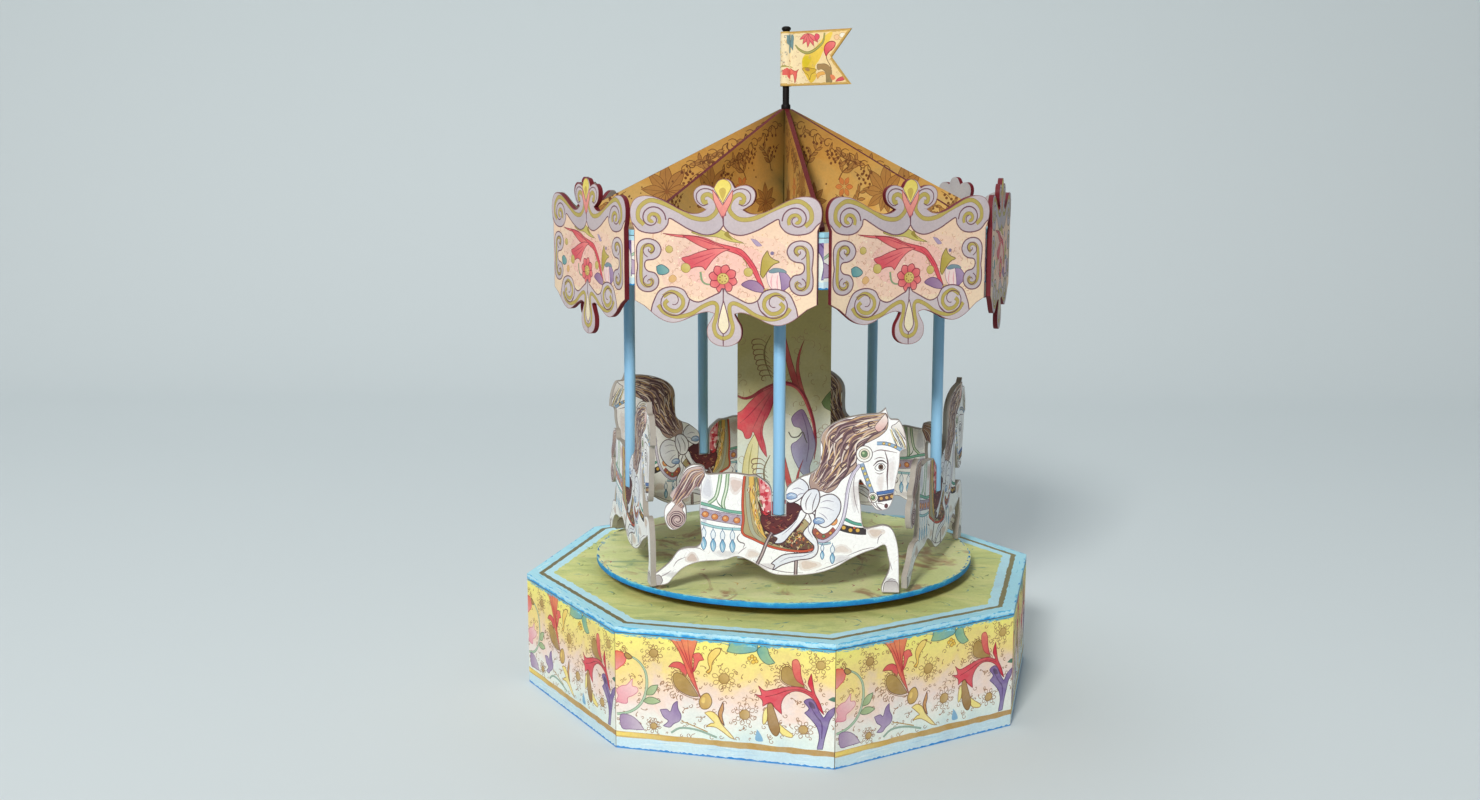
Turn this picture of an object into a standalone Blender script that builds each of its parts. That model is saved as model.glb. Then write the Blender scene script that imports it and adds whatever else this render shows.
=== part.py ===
"""Wind-up carousel toy: printed board carousel on an eight-sided box that holds a spring motor.

World frame: origin on the table at the middle of the base, +Z up, front toward -Y.
Bearings round the axis are measured from the front (-Y), positive toward +X.
"""

import math

import bmesh
import bpy
from mathutils import Matrix, Vector

MM = 0.001

# ---------------------------------------------------------------- driving dimensions, in millimetres
BOARD_GAP = 0.3  # clearance left between pieces that are glued or rest on each other

BASE_VERTEX_R = 120.0
BASE_TURN = 10.12  # bearing of one corner of the base
BASE_HEIGHT = 52.0
BASE_TOP_T = 2.3
SIDE_T = 2.5
FLOOR_Z = 17.5
FLOOR_T = 2.5

TURNTABLE_R = 87.7
TURNTABLE_Z = 57.1
TURNTABLE_T = 2.3

COLUMN_W = 42.0
CANOPY_TURN = 8.385  # bearing of one corner of the canopy
CANOPY_FLOOR_Z = 190.2
CANOPY_T = 2.5
DRUM_AP = 95.6  # apothem of the drum's outer faces
DRUM_T = 2.5
DRUM_TOP = 210.1
DECK_T = 2.0

ROOF_APEX_Z = 264.7
FIN_T = 2.0
FIN_R = 99.5
FIN_BAND = 10.0  # height of each quarter lap on the axis
FIN_SLOT = 2.75  # half width of the slots that clear the other fins

BOARD_T = 2.0
POLE_D = 5.0
POLE_RING = 72.6
POLE_TURN = -1.5
POLE_FOOT = 93.4
HORSE_T = 2.4
HORSE_FOOT = 60.6
HORSE_UNIT = 0.4275  # one grid square of the horse drawing
SLOT_W = 5.7

SPINDLE_R = 3.0
SPINDLE_TOP = 212.1
FLANGE_R = 15.0
SHAFT_HOLE = 3.4

PLATE_T = 1.2
PLATE_LOW = 20.3
PLATE_HIGH = 44.0
BARREL_AT = (-36.0, 0.0)
MIDDLE_AT = (26.6, 0.0)
GOVERNOR_AT = (47.6, 0.0)
CLICK_AT = (-21.0, -13.0)
PILLARS = ((-60.0, 26.0), (-60.0, -26.0), (58.0, 24.0))

PINION_TEETH, BARREL_TEETH, FIRST_MODULE = 20, 60, 0.9
SPINDLE_WHEEL_TEETH, MIDDLE_PINION_TEETH, SECOND_MODULE = 64, 12, 0.7
MIDDLE_WHEEL_TEETH, GOVERNOR_PINION_TEETH, THIRD_MODULE = 60, 10, 0.6
RATCHET_TEETH = 12

# ---------------------------------------------------------------- scene
for old in list(bpy.data.objects):
    bpy.data.objects.remove(old)

CAROUSEL = bpy.data.collections.new("wind_up_carousel")
CUTTERS = bpy.data.collections.new("cutters")
bpy.context.scene.collection.children.link(CAROUSEL)
bpy.context.scene.collection.children.link(CUTTERS)


def material(name, colour, metallic=0.0, roughness=0.6):
    mat = bpy.data.materials.new(name)
    mat.use_nodes = True
    shader = mat.node_tree.nodes["Principled BSDF"]
    shader.inputs["Base Color"].default_value = (*colour, 1.0)
    shader.inputs["Metallic"].default_value = metallic
    shader.inputs["Roughness"].default_value = roughness
    mat.diffuse_color = (*colour, 1.0)
    return mat


def pivot(name, at):
    empty = bpy.data.objects.new(name, None)
    empty.empty_display_size = 0.01
    empty.location = (at[0] * MM, at[1] * MM, 0.0)
    CAROUSEL.objects.link(empty)
    return empty


CAROUSEL_AXIS = pivot("carousel_axis", (0.0, 0.0))
BARREL_AXIS = pivot("barrel_axis", BARREL_AT)
WINDER_AXIS = pivot("winder_axis", BARREL_AT)
MIDDLE_AXIS = pivot("middle_axis", MIDDLE_AT)
GOVERNOR_AXIS = pivot("governor_axis", GOVERNOR_AT)
CLICK_AXIS = pivot("click_axis", CLICK_AT)
BASE_FRAME = pivot("base_frame", (0.0, 0.0))


def place(obj, axis, mat, matrix=None):
    """Puts a finished piece under its joint's axis, with its own material."""
    obj.matrix_basis = matrix if matrix is not None else Matrix.Identity(4)
    obj.parent = axis
    obj.matrix_parent_inverse = Matrix.Translation(axis.location).inverted()
    obj.data.materials.clear()
    obj.data.materials.append(mat)
    return obj


def tidy(mesh):
    work = bmesh.new()
    work.from_mesh(mesh)
    bmesh.ops.remove_doubles(work, verts=work.verts, dist=2e-6)
    bmesh.ops.recalc_face_normals(work, faces=work.faces)
    work.to_mesh(mesh)
    work.free()
    return mesh


def flat(name, loops, low, high, collection=None):
    """A sheet cut to the loops (outer first, then holes) and standing from low to high, all in millimetres."""
    curve = bpy.data.curves.new(name + "_outline", "CURVE")
    curve.dimensions = "2D"
    curve.fill_mode = "BOTH"
    curve.extrude = (high - low) / 2 * MM
    for loop in loops:
        spline = curve.splines.new("POLY")
        spline.points.add(len(loop) - 1)
        for point, (x, y) in zip(spline.points, loop):
            point.co = (x * MM, y * MM, 0.0, 1.0)
        spline.use_cyclic_u = True
    guide = bpy.data.objects.new(name + "_guide", curve)
    CUTTERS.objects.link(guide)
    guide.hide_render = True
    graph = bpy.context.evaluated_depsgraph_get()
    mesh = bpy.data.meshes.new_from_object(guide.evaluated_get(graph))
    bpy.data.objects.remove(guide)
    mesh.name = name
    mesh.transform(Matrix.Translation((0, 0, (low + high) / 2 * MM)))
    obj = bpy.data.objects.new(name, tidy(mesh))
    (collection or CAROUSEL).objects.link(obj)
    return obj


def turned(name, profile, steps=24, closed=False, collection=None, smooth=True):
    """A turned piece. The profile is (radius, height) pairs down the outer side; a closed one is a tube."""
    mesh = bpy.data.meshes.new(name)
    count = len(profile)
    edges = [(i, i + 1) for i in range(count - 1)]
    if closed:
        edges.append((count - 1, 0))
    mesh.from_pydata([(r * MM, 0.0, z * MM) for r, z in profile], edges, [])
    obj = bpy.data.objects.new(name, mesh)
    (collection or CAROUSEL).objects.link(obj)
    turn = obj.modifiers.new("turn", "SCREW")
    turn.axis = "Z"
    turn.angle = math.radians(360)
    turn.steps = steps
    turn.render_steps = steps
    turn.use_merge_vertices = True
    turn.merge_threshold = 1e-5
    turn.use_smooth_shade = False
    graph = bpy.context.evaluated_depsgraph_get()
    made = tidy(bpy.data.meshes.new_from_object(obj.evaluated_get(graph)))
    made.name = name
    obj.modifiers.clear()
    obj.data = made
    if smooth:
        for face in made.polygons:
            face.use_smooth = True
        made.set_sharp_from_angle(angle=math.radians(35))
    return obj


def as_cutter(obj):
    for collection in list(obj.users_collection):
        collection.objects.unlink(obj)
    CUTTERS.objects.link(obj)
    obj.hide_render = True
    obj.display_type = "WIRE"
    return obj


def boolean(obj, other, operation):
    as_cutter(other)
    step = obj.modifiers.new(operation.lower(), "BOOLEAN")
    step.solver = "EXACT"
    step.operation = operation
    step.object = other
    return obj


def circle(r, cx=0.0, cy=0.0, n=24):
    return [(cx + r * math.cos(2 * math.pi * i / n), cy + r * math.sin(2 * math.pi * i / n)) for i in range(n)]


def bearing(angle, r):
    a = math.radians(angle)
    return (r * math.sin(a), -r * math.cos(a))


def octagon(apothem, turn):
    r = apothem / math.cos(math.radians(22.5))
    return [bearing(turn + 45 * k, r) for k in range(8)]


def upright(angle, distance):
    """Stands a sheet drawn in XY up on edge, facing out at a bearing, its middle plane at a distance from the axis."""
    a = math.radians(angle)
    across = Vector((math.cos(a), math.sin(a), 0.0))
    up = Vector((0.0, 0.0, 1.0))
    out = Vector((math.sin(a), -math.cos(a), 0.0))
    matrix = Matrix((across, up, out)).transposed().to_4x4()
    matrix.translation = out * distance * MM
    return matrix


def smooth_loop(points, parts=2):
    """Points on a smooth closed line through the given ones. A third item marks a sharp corner."""
    n = len(points)
    xy = [Vector(p[:2]) for p in points]
    sharp = [len(p) > 2 for p in points]
    result = []
    for i in range(n):
        a, b = xy[i], xy[(i + 1) % n]
        before = a if sharp[i] else xy[i - 1]
        after = b if sharp[(i + 1) % n] else xy[(i + 2) % n]
        result.append(tuple(a))
        if sharp[i] and sharp[(i + 1) % n]:
            continue
        for k in range(1, parts):
            t = k / parts
            result.append(tuple(
                0.5 * ((2 * a) + (b - before) * t + (2 * before - 5 * a + 4 * b - after) * t * t
                       + (3 * a - before - 3 * b + after) * t ** 3)))
    return result


def gear(teeth, module, phase, addendum=0.85, dedendum=1.2, slack=0.2):
    """Tooth outline, straight sided between the base and tip circles, with one tooth centred at the phase in degrees."""
    pitch = teeth * module / 2
    base = pitch * math.cos(math.radians(20))
    tip = pitch + addendum * module
    root = pitch - dedendum * module

    def involute(r):
        t = math.sqrt(max((r / base) ** 2 - 1, 0.0))
        return t - math.atan(t)

    half = math.pi / 2 / teeth - slack * module / 2 / pitch

    def half_angle(r):
        return half + involute(pitch) - (involute(r) if r > base else 0.0)

    radii = [root, base, tip] if base > root + 0.05 * module else [root, tip]
    loop = []
    for k in range(teeth):
        middle = math.radians(phase) + 2 * math.pi * k / teeth
        for r in radii:
            loop.append((r * math.cos(middle - half_angle(r)), r * math.sin(middle - half_angle(r))))
        for r in reversed(radii):
            loop.append((r * math.cos(middle + half_angle(r)), r * math.sin(middle + half_angle(r))))
    return loop


def at(x, y):
    return Matrix.Translation((x * MM, y * MM, 0.0))


# ---------------------------------------------------------------- materials
PRINT = material("printed_side", (0.86, 0.72, 0.50))
TOP = material("base_top_paint", (0.62, 0.62, 0.30))
WOOD = material("plain_board", (0.62, 0.48, 0.32))
DISC = material("turntable_paint", (0.72, 0.75, 0.42))
COLUMN = material("column_print", (0.48, 0.46, 0.32))
DRUM = material("drum_print", (0.86, 0.74, 0.55))
ROOF = material("roof_print", (0.72, 0.50, 0.18))
SCROLL = material("scroll_print", (0.78, 0.68, 0.66))
POLE = material("pole_paint", (0.32, 0.56, 0.78))
HORSE = material("horse_print", (0.85, 0.83, 0.80))
MAST = material("mast_paint", (0.02, 0.02, 0.025))
FLAG = material("flag_print", (0.85, 0.72, 0.40))
BRASS = material("brass", (0.70, 0.52, 0.22), 1.0, 0.35)
STEEL = material("steel", (0.55, 0.56, 0.58), 1.0, 0.35)
BLUED = material("blued_steel", (0.10, 0.13, 0.22), 1.0, 0.35)

# ---------------------------------------------------------------- base box
BASE_AP = BASE_VERTEX_R * math.cos(math.radians(22.5))
SIDE_TOP = BASE_HEIGHT - BASE_TOP_T - BOARD_GAP

place(flat("base_top", [octagon(BASE_AP, BASE_TURN), circle(4.5)], BASE_HEIGHT - BASE_TOP_T, BASE_HEIGHT), BASE_FRAME, TOP)

for k in range(8):
    inner = BASE_AP - SIDE_T
    tangent = math.tan(math.radians(22.5))
    wide, narrow = BASE_AP * tangent - BOARD_GAP / 2, inner * tangent - BOARD_GAP / 2
    plan = [(-wide, -BASE_AP), (wide, -BASE_AP), (narrow, -inner), (-narrow, -inner)]
    turn = Matrix.Rotation(math.radians(BASE_TURN + 22.5 + 45 * k), 4, "Z")
    place(flat(f"base_side_{k + 1}", [plan], 0.0, SIDE_TOP), BASE_FRAME, PRINT, turn)

holes = [circle(4.0, *BARREL_AT, n=16)] + [circle(2.3, *p, n=12) for p in PILLARS]
place(flat("base_floor", [octagon(BASE_AP - SIDE_T - BOARD_GAP, BASE_TURN)] + holes, FLOOR_Z, FLOOR_Z + FLOOR_T), BASE_FRAME, WOOD)

# ---------------------------------------------------------------- motor plates and pillars
CORNER = 6.0
plate = []
for cx, cy, start in ((62, 27, 0), (-64, 27, 90), (-64, -27, 180), (62, -27, 270)):
    for i in range(4):
        a = math.radians(start + 30 * i)
        plate.append((cx + CORNER * math.cos(a), cy + CORNER * math.sin(a)))
pillar_holes = [circle(2.3, *p, n=12) for p in PILLARS]
low_holes = pillar_holes + [circle(3.4, *BARREL_AT, n=16), circle(1.8, n=12), circle(1.3, *MIDDLE_AT, n=10),
                            circle(1.3, *GOVERNOR_AT, n=10), circle(1.5, *CLICK_AT, n=10)]
high_holes = pillar_holes + [circle(2.3, *BARREL_AT, n=16), circle(3.4, n=16), circle(1.3, *MIDDLE_AT, n=10),
                             circle(1.3, *GOVERNOR_AT, n=10)]
place(flat("motor_plate_lower", [plate] + low_holes, PLATE_LOW, PLATE_LOW + PLATE_T), BASE_FRAME, BRASS)
place(flat("motor_plate_upper", [plate] + high_holes, PLATE_HIGH, PLATE_HIGH + PLATE_T), BASE_FRAME, BRASS)

for k, spot in enumerate(PILLARS):
    low, high = PLATE_LOW + PLATE_T + BOARD_GAP, PLATE_HIGH - BOARD_GAP
    bolt = turned(f"motor_pillar_{k + 1}", [(0, 46.6), (1.6, 46.6), (2.0, 46.2), (2.0, high), (3.5, high), (3.5, low),
                                            (2.0, low), (2.0, 17.2), (4.2, 17.2), (4.2, 15.9), (3.6, 15.2), (0, 15.2)], 16)
    slot = flat(f"pillar_slot_{k + 1}", [[(-5, -0.5), (5, -0.5), (5, 0.5), (-5, 0.5)]], 14.0, 16.0)
    slot.matrix_world = at(*spot)
    boolean(bolt, slot, "DIFFERENCE")
    place(bolt, BASE_FRAME, STEEL, at(*spot))

# ---------------------------------------------------------------- winding side: key, arbor, ratchet and click
arbor = turned("winding_arbor", [(0, 46.2), (2.0, 46.2), (2.0, 39.2), (3.0, 39.2), (3.0, 16.8), (0, 16.8)], 20)
square = flat("arbor_square", [[(-1.8, -1.8), (1.8, -1.8), (1.8, 1.8), (-1.8, 1.8)]], 10.2, 18.0)
square.matrix_world = at(*BARREL_AT)
boolean(arbor, square, "UNION")
place(arbor, WINDER_AXIS, STEEL, at(*BARREL_AT))

step = 360.0 / RATCHET_TEETH
teeth = []
for k in range(RATCHET_TEETH):
    for share, r in ((0.0, 11.0), (0.5, 10.0), (1.0, 9.0)):
        a = -math.radians(90 + step * (k + share))
        teeth.append((r * math.cos(a), r * math.sin(a)))
place(flat("ratchet_wheel", [teeth[::-1], circle(3.3, n=20)], 22.2, 23.7), WINDER_AXIS, STEEL, at(*BARREL_AT))

# the click, drawn from the arbor's centre for a wheel that winds the other way, then turned over onto its own pivot
cx, cy = CLICK_AT[0] - BARREL_AT[0], BARREL_AT[1] - CLICK_AT[1]
click = [(0.35, 9.6), (2.2, 10.5), (4.6, 11.9), (9.0, 11.7)]
click += [(cx + 3.2 * math.cos(math.radians(a)), cy + 3.2 * math.sin(math.radians(a))) for a in range(-130, 131, 26)]
click += [(8.0, 14.2), (3.0, 13.2), (0.35, 11.8)]
click = [(x - cx, cy - y) for x, y in reversed(click)]
place(flat("click", [click, circle(1.65, n=14)], 22.2, 23.7), CLICK_AXIS, STEEL, at(*CLICK_AT))
place(turned("click_screw", [(0, 25.0), (2.4, 25.0), (2.6, 24.8), (2.6, 23.95), (1.3, 23.95), (1.3, 21.8), (1.1, 21.8), (1.1, 20.5), (0, 20.5)], 14),
      BASE_FRAME, BLUED, at(*CLICK_AT))

# leaf spring, hooked round the second pillar and bearing on the click's back
px, py = PILLARS[1]
sx, sy = BARREL_AT[0] + 5.0, BARREL_AT[1] - 14.05
path = []
for k in range(9):
    t = k / 8
    x = px + 2.0 + (sx - px - 2.0) * t
    y = py + 4.2 + (sy - py - 4.2) * t - 2.2 * math.sin(math.pi * t)
    path.append((x, y))
strip = path + [(x - 0.1, y - 0.6) for x, y in reversed(path)]
spring = flat("click_spring", [circle(4.7, px, py, 18), circle(3.85, px, py, 18)], 22.5, 23.4)
boolean(spring, flat("spring_leaf", [strip], 22.5, 23.4), "UNION")
place(spring, BASE_FRAME, BLUED)

# key: a socket on the square, two pierced wings
wing = []
for k in range(36):
    a = 2 * math.pi * k / 36
    x = 16.5 * math.cos(a)
    lobe = 2.6 + 2.4 * abs(math.cos(a)) ** 1.5
    wing.append((x, 6.8 + lobe * math.sin(a)))
key = flat("winding_key", [wing, circle(2.2, -10.4, 6.8, 12), circle(2.2, 10.4, 6.8, 12)], -1.1, 1.1)
key.data.transform(Matrix.Rotation(math.radians(90), 4, "X"))
boss = turned("key_boss", [(0, 15.6), (4.0, 15.6), (4.3, 15.0), (4.3, 5.2), (3.6, 4.4), (0, 4.4)], 18)
boss.matrix_world = at(*BARREL_AT)
boolean(key, boss, "UNION")
socket = flat("key_socket", [[(-2.1, -2.1), (2.1, -2.1), (2.1, 2.1), (-2.1, 2.1)]], 9.8, 16.4)
socket.matrix_world = at(*BARREL_AT)
boolean(key, socket, "DIFFERENCE")
place(key, WINDER_AXIS, STEEL, at(*BARREL_AT))

# ---------------------------------------------------------------- mainspring barrel
WHEEL_LOW, WHEEL_HIGH = 25.4, 27.4
gap_phase = 180.0 / BARREL_TEETH
barrel = flat("spring_barrel", [gear(BARREL_TEETH, FIRST_MODULE, gap_phase), circle(3.4, n=20)], WHEEL_LOW, WHEEL_HIGH)
wall = turned("barrel_wall", [(23.5, 37.4), (23.5, 26.4), (22.4, 26.4), (22.4, 37.4)], 36, closed=True)
wall.matrix_world = at(*BARREL_AT)
boolean(barrel, wall, "UNION")
place(barrel, BARREL_AXIS, BRASS, at(*BARREL_AT))
place(turned("barrel_cover", [(23.5, 38.5), (23.5, 37.7), (3.4, 37.7), (3.4, 38.5)], 36, closed=True), BARREL_AXIS, BRASS, at(*BARREL_AT))

TURNS, PER_TURN, RIBBON = 6.0, 20, 0.5
outer, inner = [], []
for k in range(int(TURNS * PER_TURN) + 1):
    a = 2 * math.pi * k / PER_TURN
    r = 3.45 + (21.5 - 3.45) * max(0.0, (k - PER_TURN) / (TURNS * PER_TURN - PER_TURN)) if k > PER_TURN else 3.45
    # the eye lies round the arbor for most of the first turn and ends clear of the second
    if k < 3:
        continue
    inner.append((r * math.cos(a), r * math.sin(a)))
    outer.append(((r + RIBBON) * math.cos(a), (r + RIBBON) * math.sin(a)))
place(flat("mainspring", [outer + inner[::-1]], 28.0, 36.8), BARREL_AXIS, BLUED, at(*BARREL_AT))

# ---------------------------------------------------------------- gear train
spindle = turned("carousel_spindle", [(0, SPINDLE_TOP), (2.4, SPINDLE_TOP), (SPINDLE_R, SPINDLE_TOP - 0.6), (SPINDLE_R, 56.8), (FLANGE_R, 56.8), (FLANGE_R, 54.8),
                                      (SPINDLE_R, 54.8), (SPINDLE_R, 22.0), (1.5, 22.0), (1.5, 20.6), (0, 20.6)], 20)
boolean(spindle, flat("spindle_pinion_teeth", [gear(PINION_TEETH, FIRST_MODULE, 180.0)], 25.0, 27.8), "UNION")
place(spindle, CAROUSEL_AXIS, STEEL)
place(flat("spindle_wheel", [gear(SPINDLE_WHEEL_TEETH, SECOND_MODULE, 0.0), circle(3.3, n=20)], 39.6, 40.8), CAROUSEL_AXIS, BRASS)

shaft = turned("middle_arbor", [(0, 45.0), (1.0, 45.0), (1.0, 43.6), (1.6, 43.6), (1.6, 22.0), (1.0, 22.0), (1.0, 20.6), (0, 20.6)], 12)
teeth = flat("middle_pinion_teeth", [gear(MIDDLE_PINION_TEETH, SECOND_MODULE, 180.0 + 180.0 / MIDDLE_PINION_TEETH)], 39.2, 41.2)
teeth.matrix_world = at(*MIDDLE_AT)
boolean(shaft, teeth, "UNION")
place(shaft, MIDDLE_AXIS, STEEL, at(*MIDDLE_AT))
place(flat("middle_wheel", [gear(MIDDLE_WHEEL_TEETH, THIRD_MODULE, 0.0), circle(1.9, n=12)], 31.0, 32.2), MIDDLE_AXIS, BRASS, at(*MIDDLE_AT))

shaft = turned("governor_arbor", [(0, 45.0), (1.0, 45.0), (1.0, 43.6), (1.4, 43.6), (1.4, 22.0), (1.0, 22.0), (1.0, 20.6), (0, 20.6)], 12)
teeth = flat("governor_pinion_teeth", [gear(GOVERNOR_PINION_TEETH, THIRD_MODULE, 180.0 + 180.0 / GOVERNOR_PINION_TEETH)], 30.6, 32.6)
teeth.matrix_world = at(*GOVERNOR_AT)
boolean(shaft, teeth, "UNION")
place(shaft, GOVERNOR_AXIS, STEEL, at(*GOVERNOR_AT))

fan = flat("governor_fan", [[(-13, -0.4), (13, -0.4), (13, 0.4), (-13, 0.4)]], 23.0, 29.4)
hub = flat("fan_hub", [circle(2.9, n=14)], 22.8, 29.6)
hub.matrix_world = at(*GOVERNOR_AT)
boolean(fan, hub, "UNION")
bore = flat("fan_bore", [circle(1.75, n=14)], 22.0, 30.4)
bore.matrix_world = at(*GOVERNOR_AT)
boolean(fan, bore, "DIFFERENCE")
place(fan, GOVERNOR_AXIS, BRASS, at(*GOVERNOR_AT))

# ---------------------------------------------------------------- turntable, column and canopy
place(flat("turntable", [circle(TURNTABLE_R, n=72), circle(SHAFT_HOLE, n=16)], TURNTABLE_Z, TURNTABLE_Z + TURNTABLE_T), CAROUSEL_AXIS, DISC)

w = COLUMN_W / 2
place(flat("column", [[(-w, -w), (w, -w), (w, w), (-w, w)], circle(SHAFT_HOLE, n=16)],
           TURNTABLE_Z + TURNTABLE_T + BOARD_GAP, CANOPY_FLOOR_Z - BOARD_GAP), CAROUSEL_AXIS, COLUMN)

pole_spots = [bearing(POLE_TURN + 72 * k, POLE_RING) for k in range(5)]
place(flat("canopy_floor", [octagon(DRUM_AP - DRUM_T - BOARD_GAP, CANOPY_TURN), circle(SHAFT_HOLE, n=16)]
           + [circle(POLE_D / 2 + 0.3, *p, n=16) for p in pole_spots], CANOPY_FLOOR_Z, CANOPY_FLOOR_Z + CANOPY_T), CAROUSEL_AXIS, WOOD)
place(flat("canopy_drum", [octagon(DRUM_AP, CANOPY_TURN), octagon(DRUM_AP - DRUM_T, CANOPY_TURN)], CANOPY_FLOOR_Z, DRUM_TOP), CAROUSEL_AXIS, DRUM)
DECK_LOW = DRUM_TOP + BOARD_GAP
place(flat("canopy_deck", [octagon(DRUM_AP, CANOPY_TURN), circle(SHAFT_HOLE, n=16)], DECK_LOW, DECK_LOW + DECK_T), CAROUSEL_AXIS, WOOD)

# roof fins: four boards standing across the whole roof, quarter lapped where they cross on the axis
foot = DECK_LOW + DECK_T + BOARD_GAP
for k in range(4):
    low, high = foot + FIN_BAND * k, foot + FIN_BAND * (k + 1)
    shoulder = ROOF_APEX_Z - (ROOF_APEX_Z - foot - 1.5) * FIN_SLOT / FIN_R
    loop = [(-FIN_R, foot)]
    if k:
        loop += [(-FIN_SLOT, foot), (-FIN_SLOT, low + 0.15), (FIN_SLOT, low + 0.15), (FIN_SLOT, foot)]
    loop += [(FIN_R, foot), (FIN_R, foot + 1.5), (FIN_SLOT, shoulder), (FIN_SLOT, high - 0.15), (-FIN_SLOT, high - 0.15),
             (-FIN_SLOT, shoulder), (-FIN_R, foot + 1.5)]
    fin = flat(f"roof_fin_{k + 1}", [loop], -FIN_T / 2, FIN_T / 2)
    # the board lies in the plane of its bearing, so it faces a quarter turn away from it
    place(fin, CAROUSEL_AXIS, ROOF, upright(CANOPY_TURN + 45 * k + 90, 0.0))

# rounding boards: half of the scroll-cut edge, from the crest down to the drop, mirrored
HALF = [(0.0, 232.9), (2.6, 232.0), (4.3, 229.3, 1), (6.3, 230.2), (9.4, 230.4), (12.0, 228.8), (12.7, 226.3), (11.6, 223.4),
        (9.0, 221.6), (7.6, 220.9, 1), (10.2, 219.6), (13.8, 219.4), (18.0, 220.7), (22.5, 223.0), (27.0, 225.1), (31.0, 226.1),
        (34.8, 226.0), (37.5, 224.6), (39.0, 221.9), (39.3, 219.0), (38.8, 216.0), (37.6, 213.0, 1),
        (37.6, 184.4, 1), (33.6, 182.3, 1), (31.0, 180.2), (28.0, 177.9), (24.6, 176.3), (21.3, 175.8), (17.7, 176.6), (14.2, 178.2),
        (10.3, 179.8), (6.9, 180.5), (4.2, 179.9, 1), (5.4, 177.6), (6.8, 175.2), (7.2, 172.8), (6.8, 170.4), (5.2, 168.4), (2.7, 167.2), (0.0, 166.9)]
whole = HALF + [(-p[0], *p[1:]) for p in HALF[-2:0:-1]]
board_loop = smooth_loop(whole, 1)
shared = None
for k in range(8):
    board = flat(f"rounding_board_{k + 1}", [board_loop], -BOARD_T / 2, BOARD_T / 2)
    place(board, CAROUSEL_AXIS, SCROLL, upright(CANOPY_TURN - 22.5 + 45 * k, DRUM_AP + BOARD_GAP + BOARD_T / 2))

# poles and horses
for k, spot in enumerate(pole_spots):
    pole = turned(f"pole_{k + 1}", [(0, CANOPY_FLOOR_Z + 2.2), (POLE_D / 2, CANOPY_FLOOR_Z + 2.2), (POLE_D / 2, POLE_FOOT), (0, POLE_FOOT)], 20)
    place(pole, CAROUSEL_AXIS, POLE, at(*spot))

# horse drawing on a square grid: x forward from the pole, y up from the sole of the hoof
DRAWING = [
    (-98, 107), (-94, 118), (-90, 123), (-83, 126), (-74, 124), (-71, 117), (-61, 117), (-45, 118), (-30, 116), (-23, 116),
    (-16, 112), (-9, 106), (-6.7, 98, 1), (-6.7, 76, 1), (6.7, 76, 1), (6.7, 100, 1), (10, 106), (22, 115), (30, 118), (38, 124),
    (40, 134), (40, 150), (43, 160), (52, 168), (66, 174), (80, 177), (90, 178), (97, 179), (103, 184, 1), (107, 174), (112, 173),
    (116, 172), (120, 165), (123, 155), (124, 144, 1), (118, 141), (117, 128), (114, 112), (112, 96), (108, 86), (103, 83), (96, 83),
    (91, 88), (87, 94), (88, 102), (83, 108), (79, 113), (78, 104), (80, 88), (83, 66), (93, 66), (102, 68),
    (110, 65), (115, 55), (118, 38), (119, 0, 1), (102, 0, 1), (102, 7), (109, 24), (107, 38), (104, 48), (95, 44), (84, 40),
    (70, 33), (57, 25), (41, 19), (22, 16), (-1, 16), (-12, 20), (-23, 27), (-40, 34), (-54, 30), (-77, 28), (-93, 22),
    (-103, 13), (-110, 5), (-121, 3, 1), (-122, 15, 1), (-108, 27), (-100, 38), (-92, 42), (-81, 43), (-76, 50), (-77, 64), (-78, 80),
    (-77, 94), (-79, 103), (-84, 100), (-88, 94), (-95, 90), (-92, 84), (-91, 76), (-92, 68), (-98, 62), (-106, 60), (-111, 66), (-113, 76), (-111, 84),
    (-105, 90), (-107, 96),
]
horse_loop = smooth_loop([(p[0] * HORSE_UNIT, HORSE_FOOT + p[1] * HORSE_UNIT, *p[2:]) for p in DRAWING], 1)
for k in range(5):
    horse = flat(f"horse_{k + 1}", [horse_loop], -HORSE_T / 2, HORSE_T / 2)
    place(horse, CAROUSEL_AXIS, HORSE, upright(POLE_TURN + 72 * k, POLE_RING))

# ---------------------------------------------------------------- mast and flag
place(turned("mast", [(0, 299.7), (1.3, 299.7), (2.1, 298.9), (2.1, 298.2), (1.5, 297.6), (1.5, 265.6), (2.1, 265.0), (2.1, 263.4),
                      (1.5, 262.8), (1.5, 254.0), (0, 254.0)], 16), CAROUSEL_AXIS, MAST)

FLAG_LOW, FLAG_HIGH, FLAG_OUT, FLAG_NOTCH = 273.4, 297.2, 33.6, 23.6
middle = (FLAG_LOW + FLAG_HIGH) / 2
cloth = flat("flag", [[(2.0, FLAG_LOW), (FLAG_OUT, FLAG_LOW), (FLAG_NOTCH, middle), (FLAG_OUT, FLAG_HIGH), (2.0, FLAG_HIGH)]], -0.4, 0.4)
flag_turn = upright(-32.0, 0.0)
sleeve = turned("flag_sleeve", [(2.6, FLAG_HIGH), (2.6, FLAG_LOW), (1.8, FLAG_LOW), (1.8, FLAG_HIGH)], 16, closed=True)
boolean(cloth, sleeve, "UNION")
place(cloth, CAROUSEL_AXIS, FLAG, flag_turn)
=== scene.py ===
"""Looks, light and camera for the wind-up carousel. The printed boards are real meshes whose faces carry the artwork."""

import math
import random

import bmesh
import bpy
import numpy as np
from mathutils import Matrix, Vector, geometry


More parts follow.
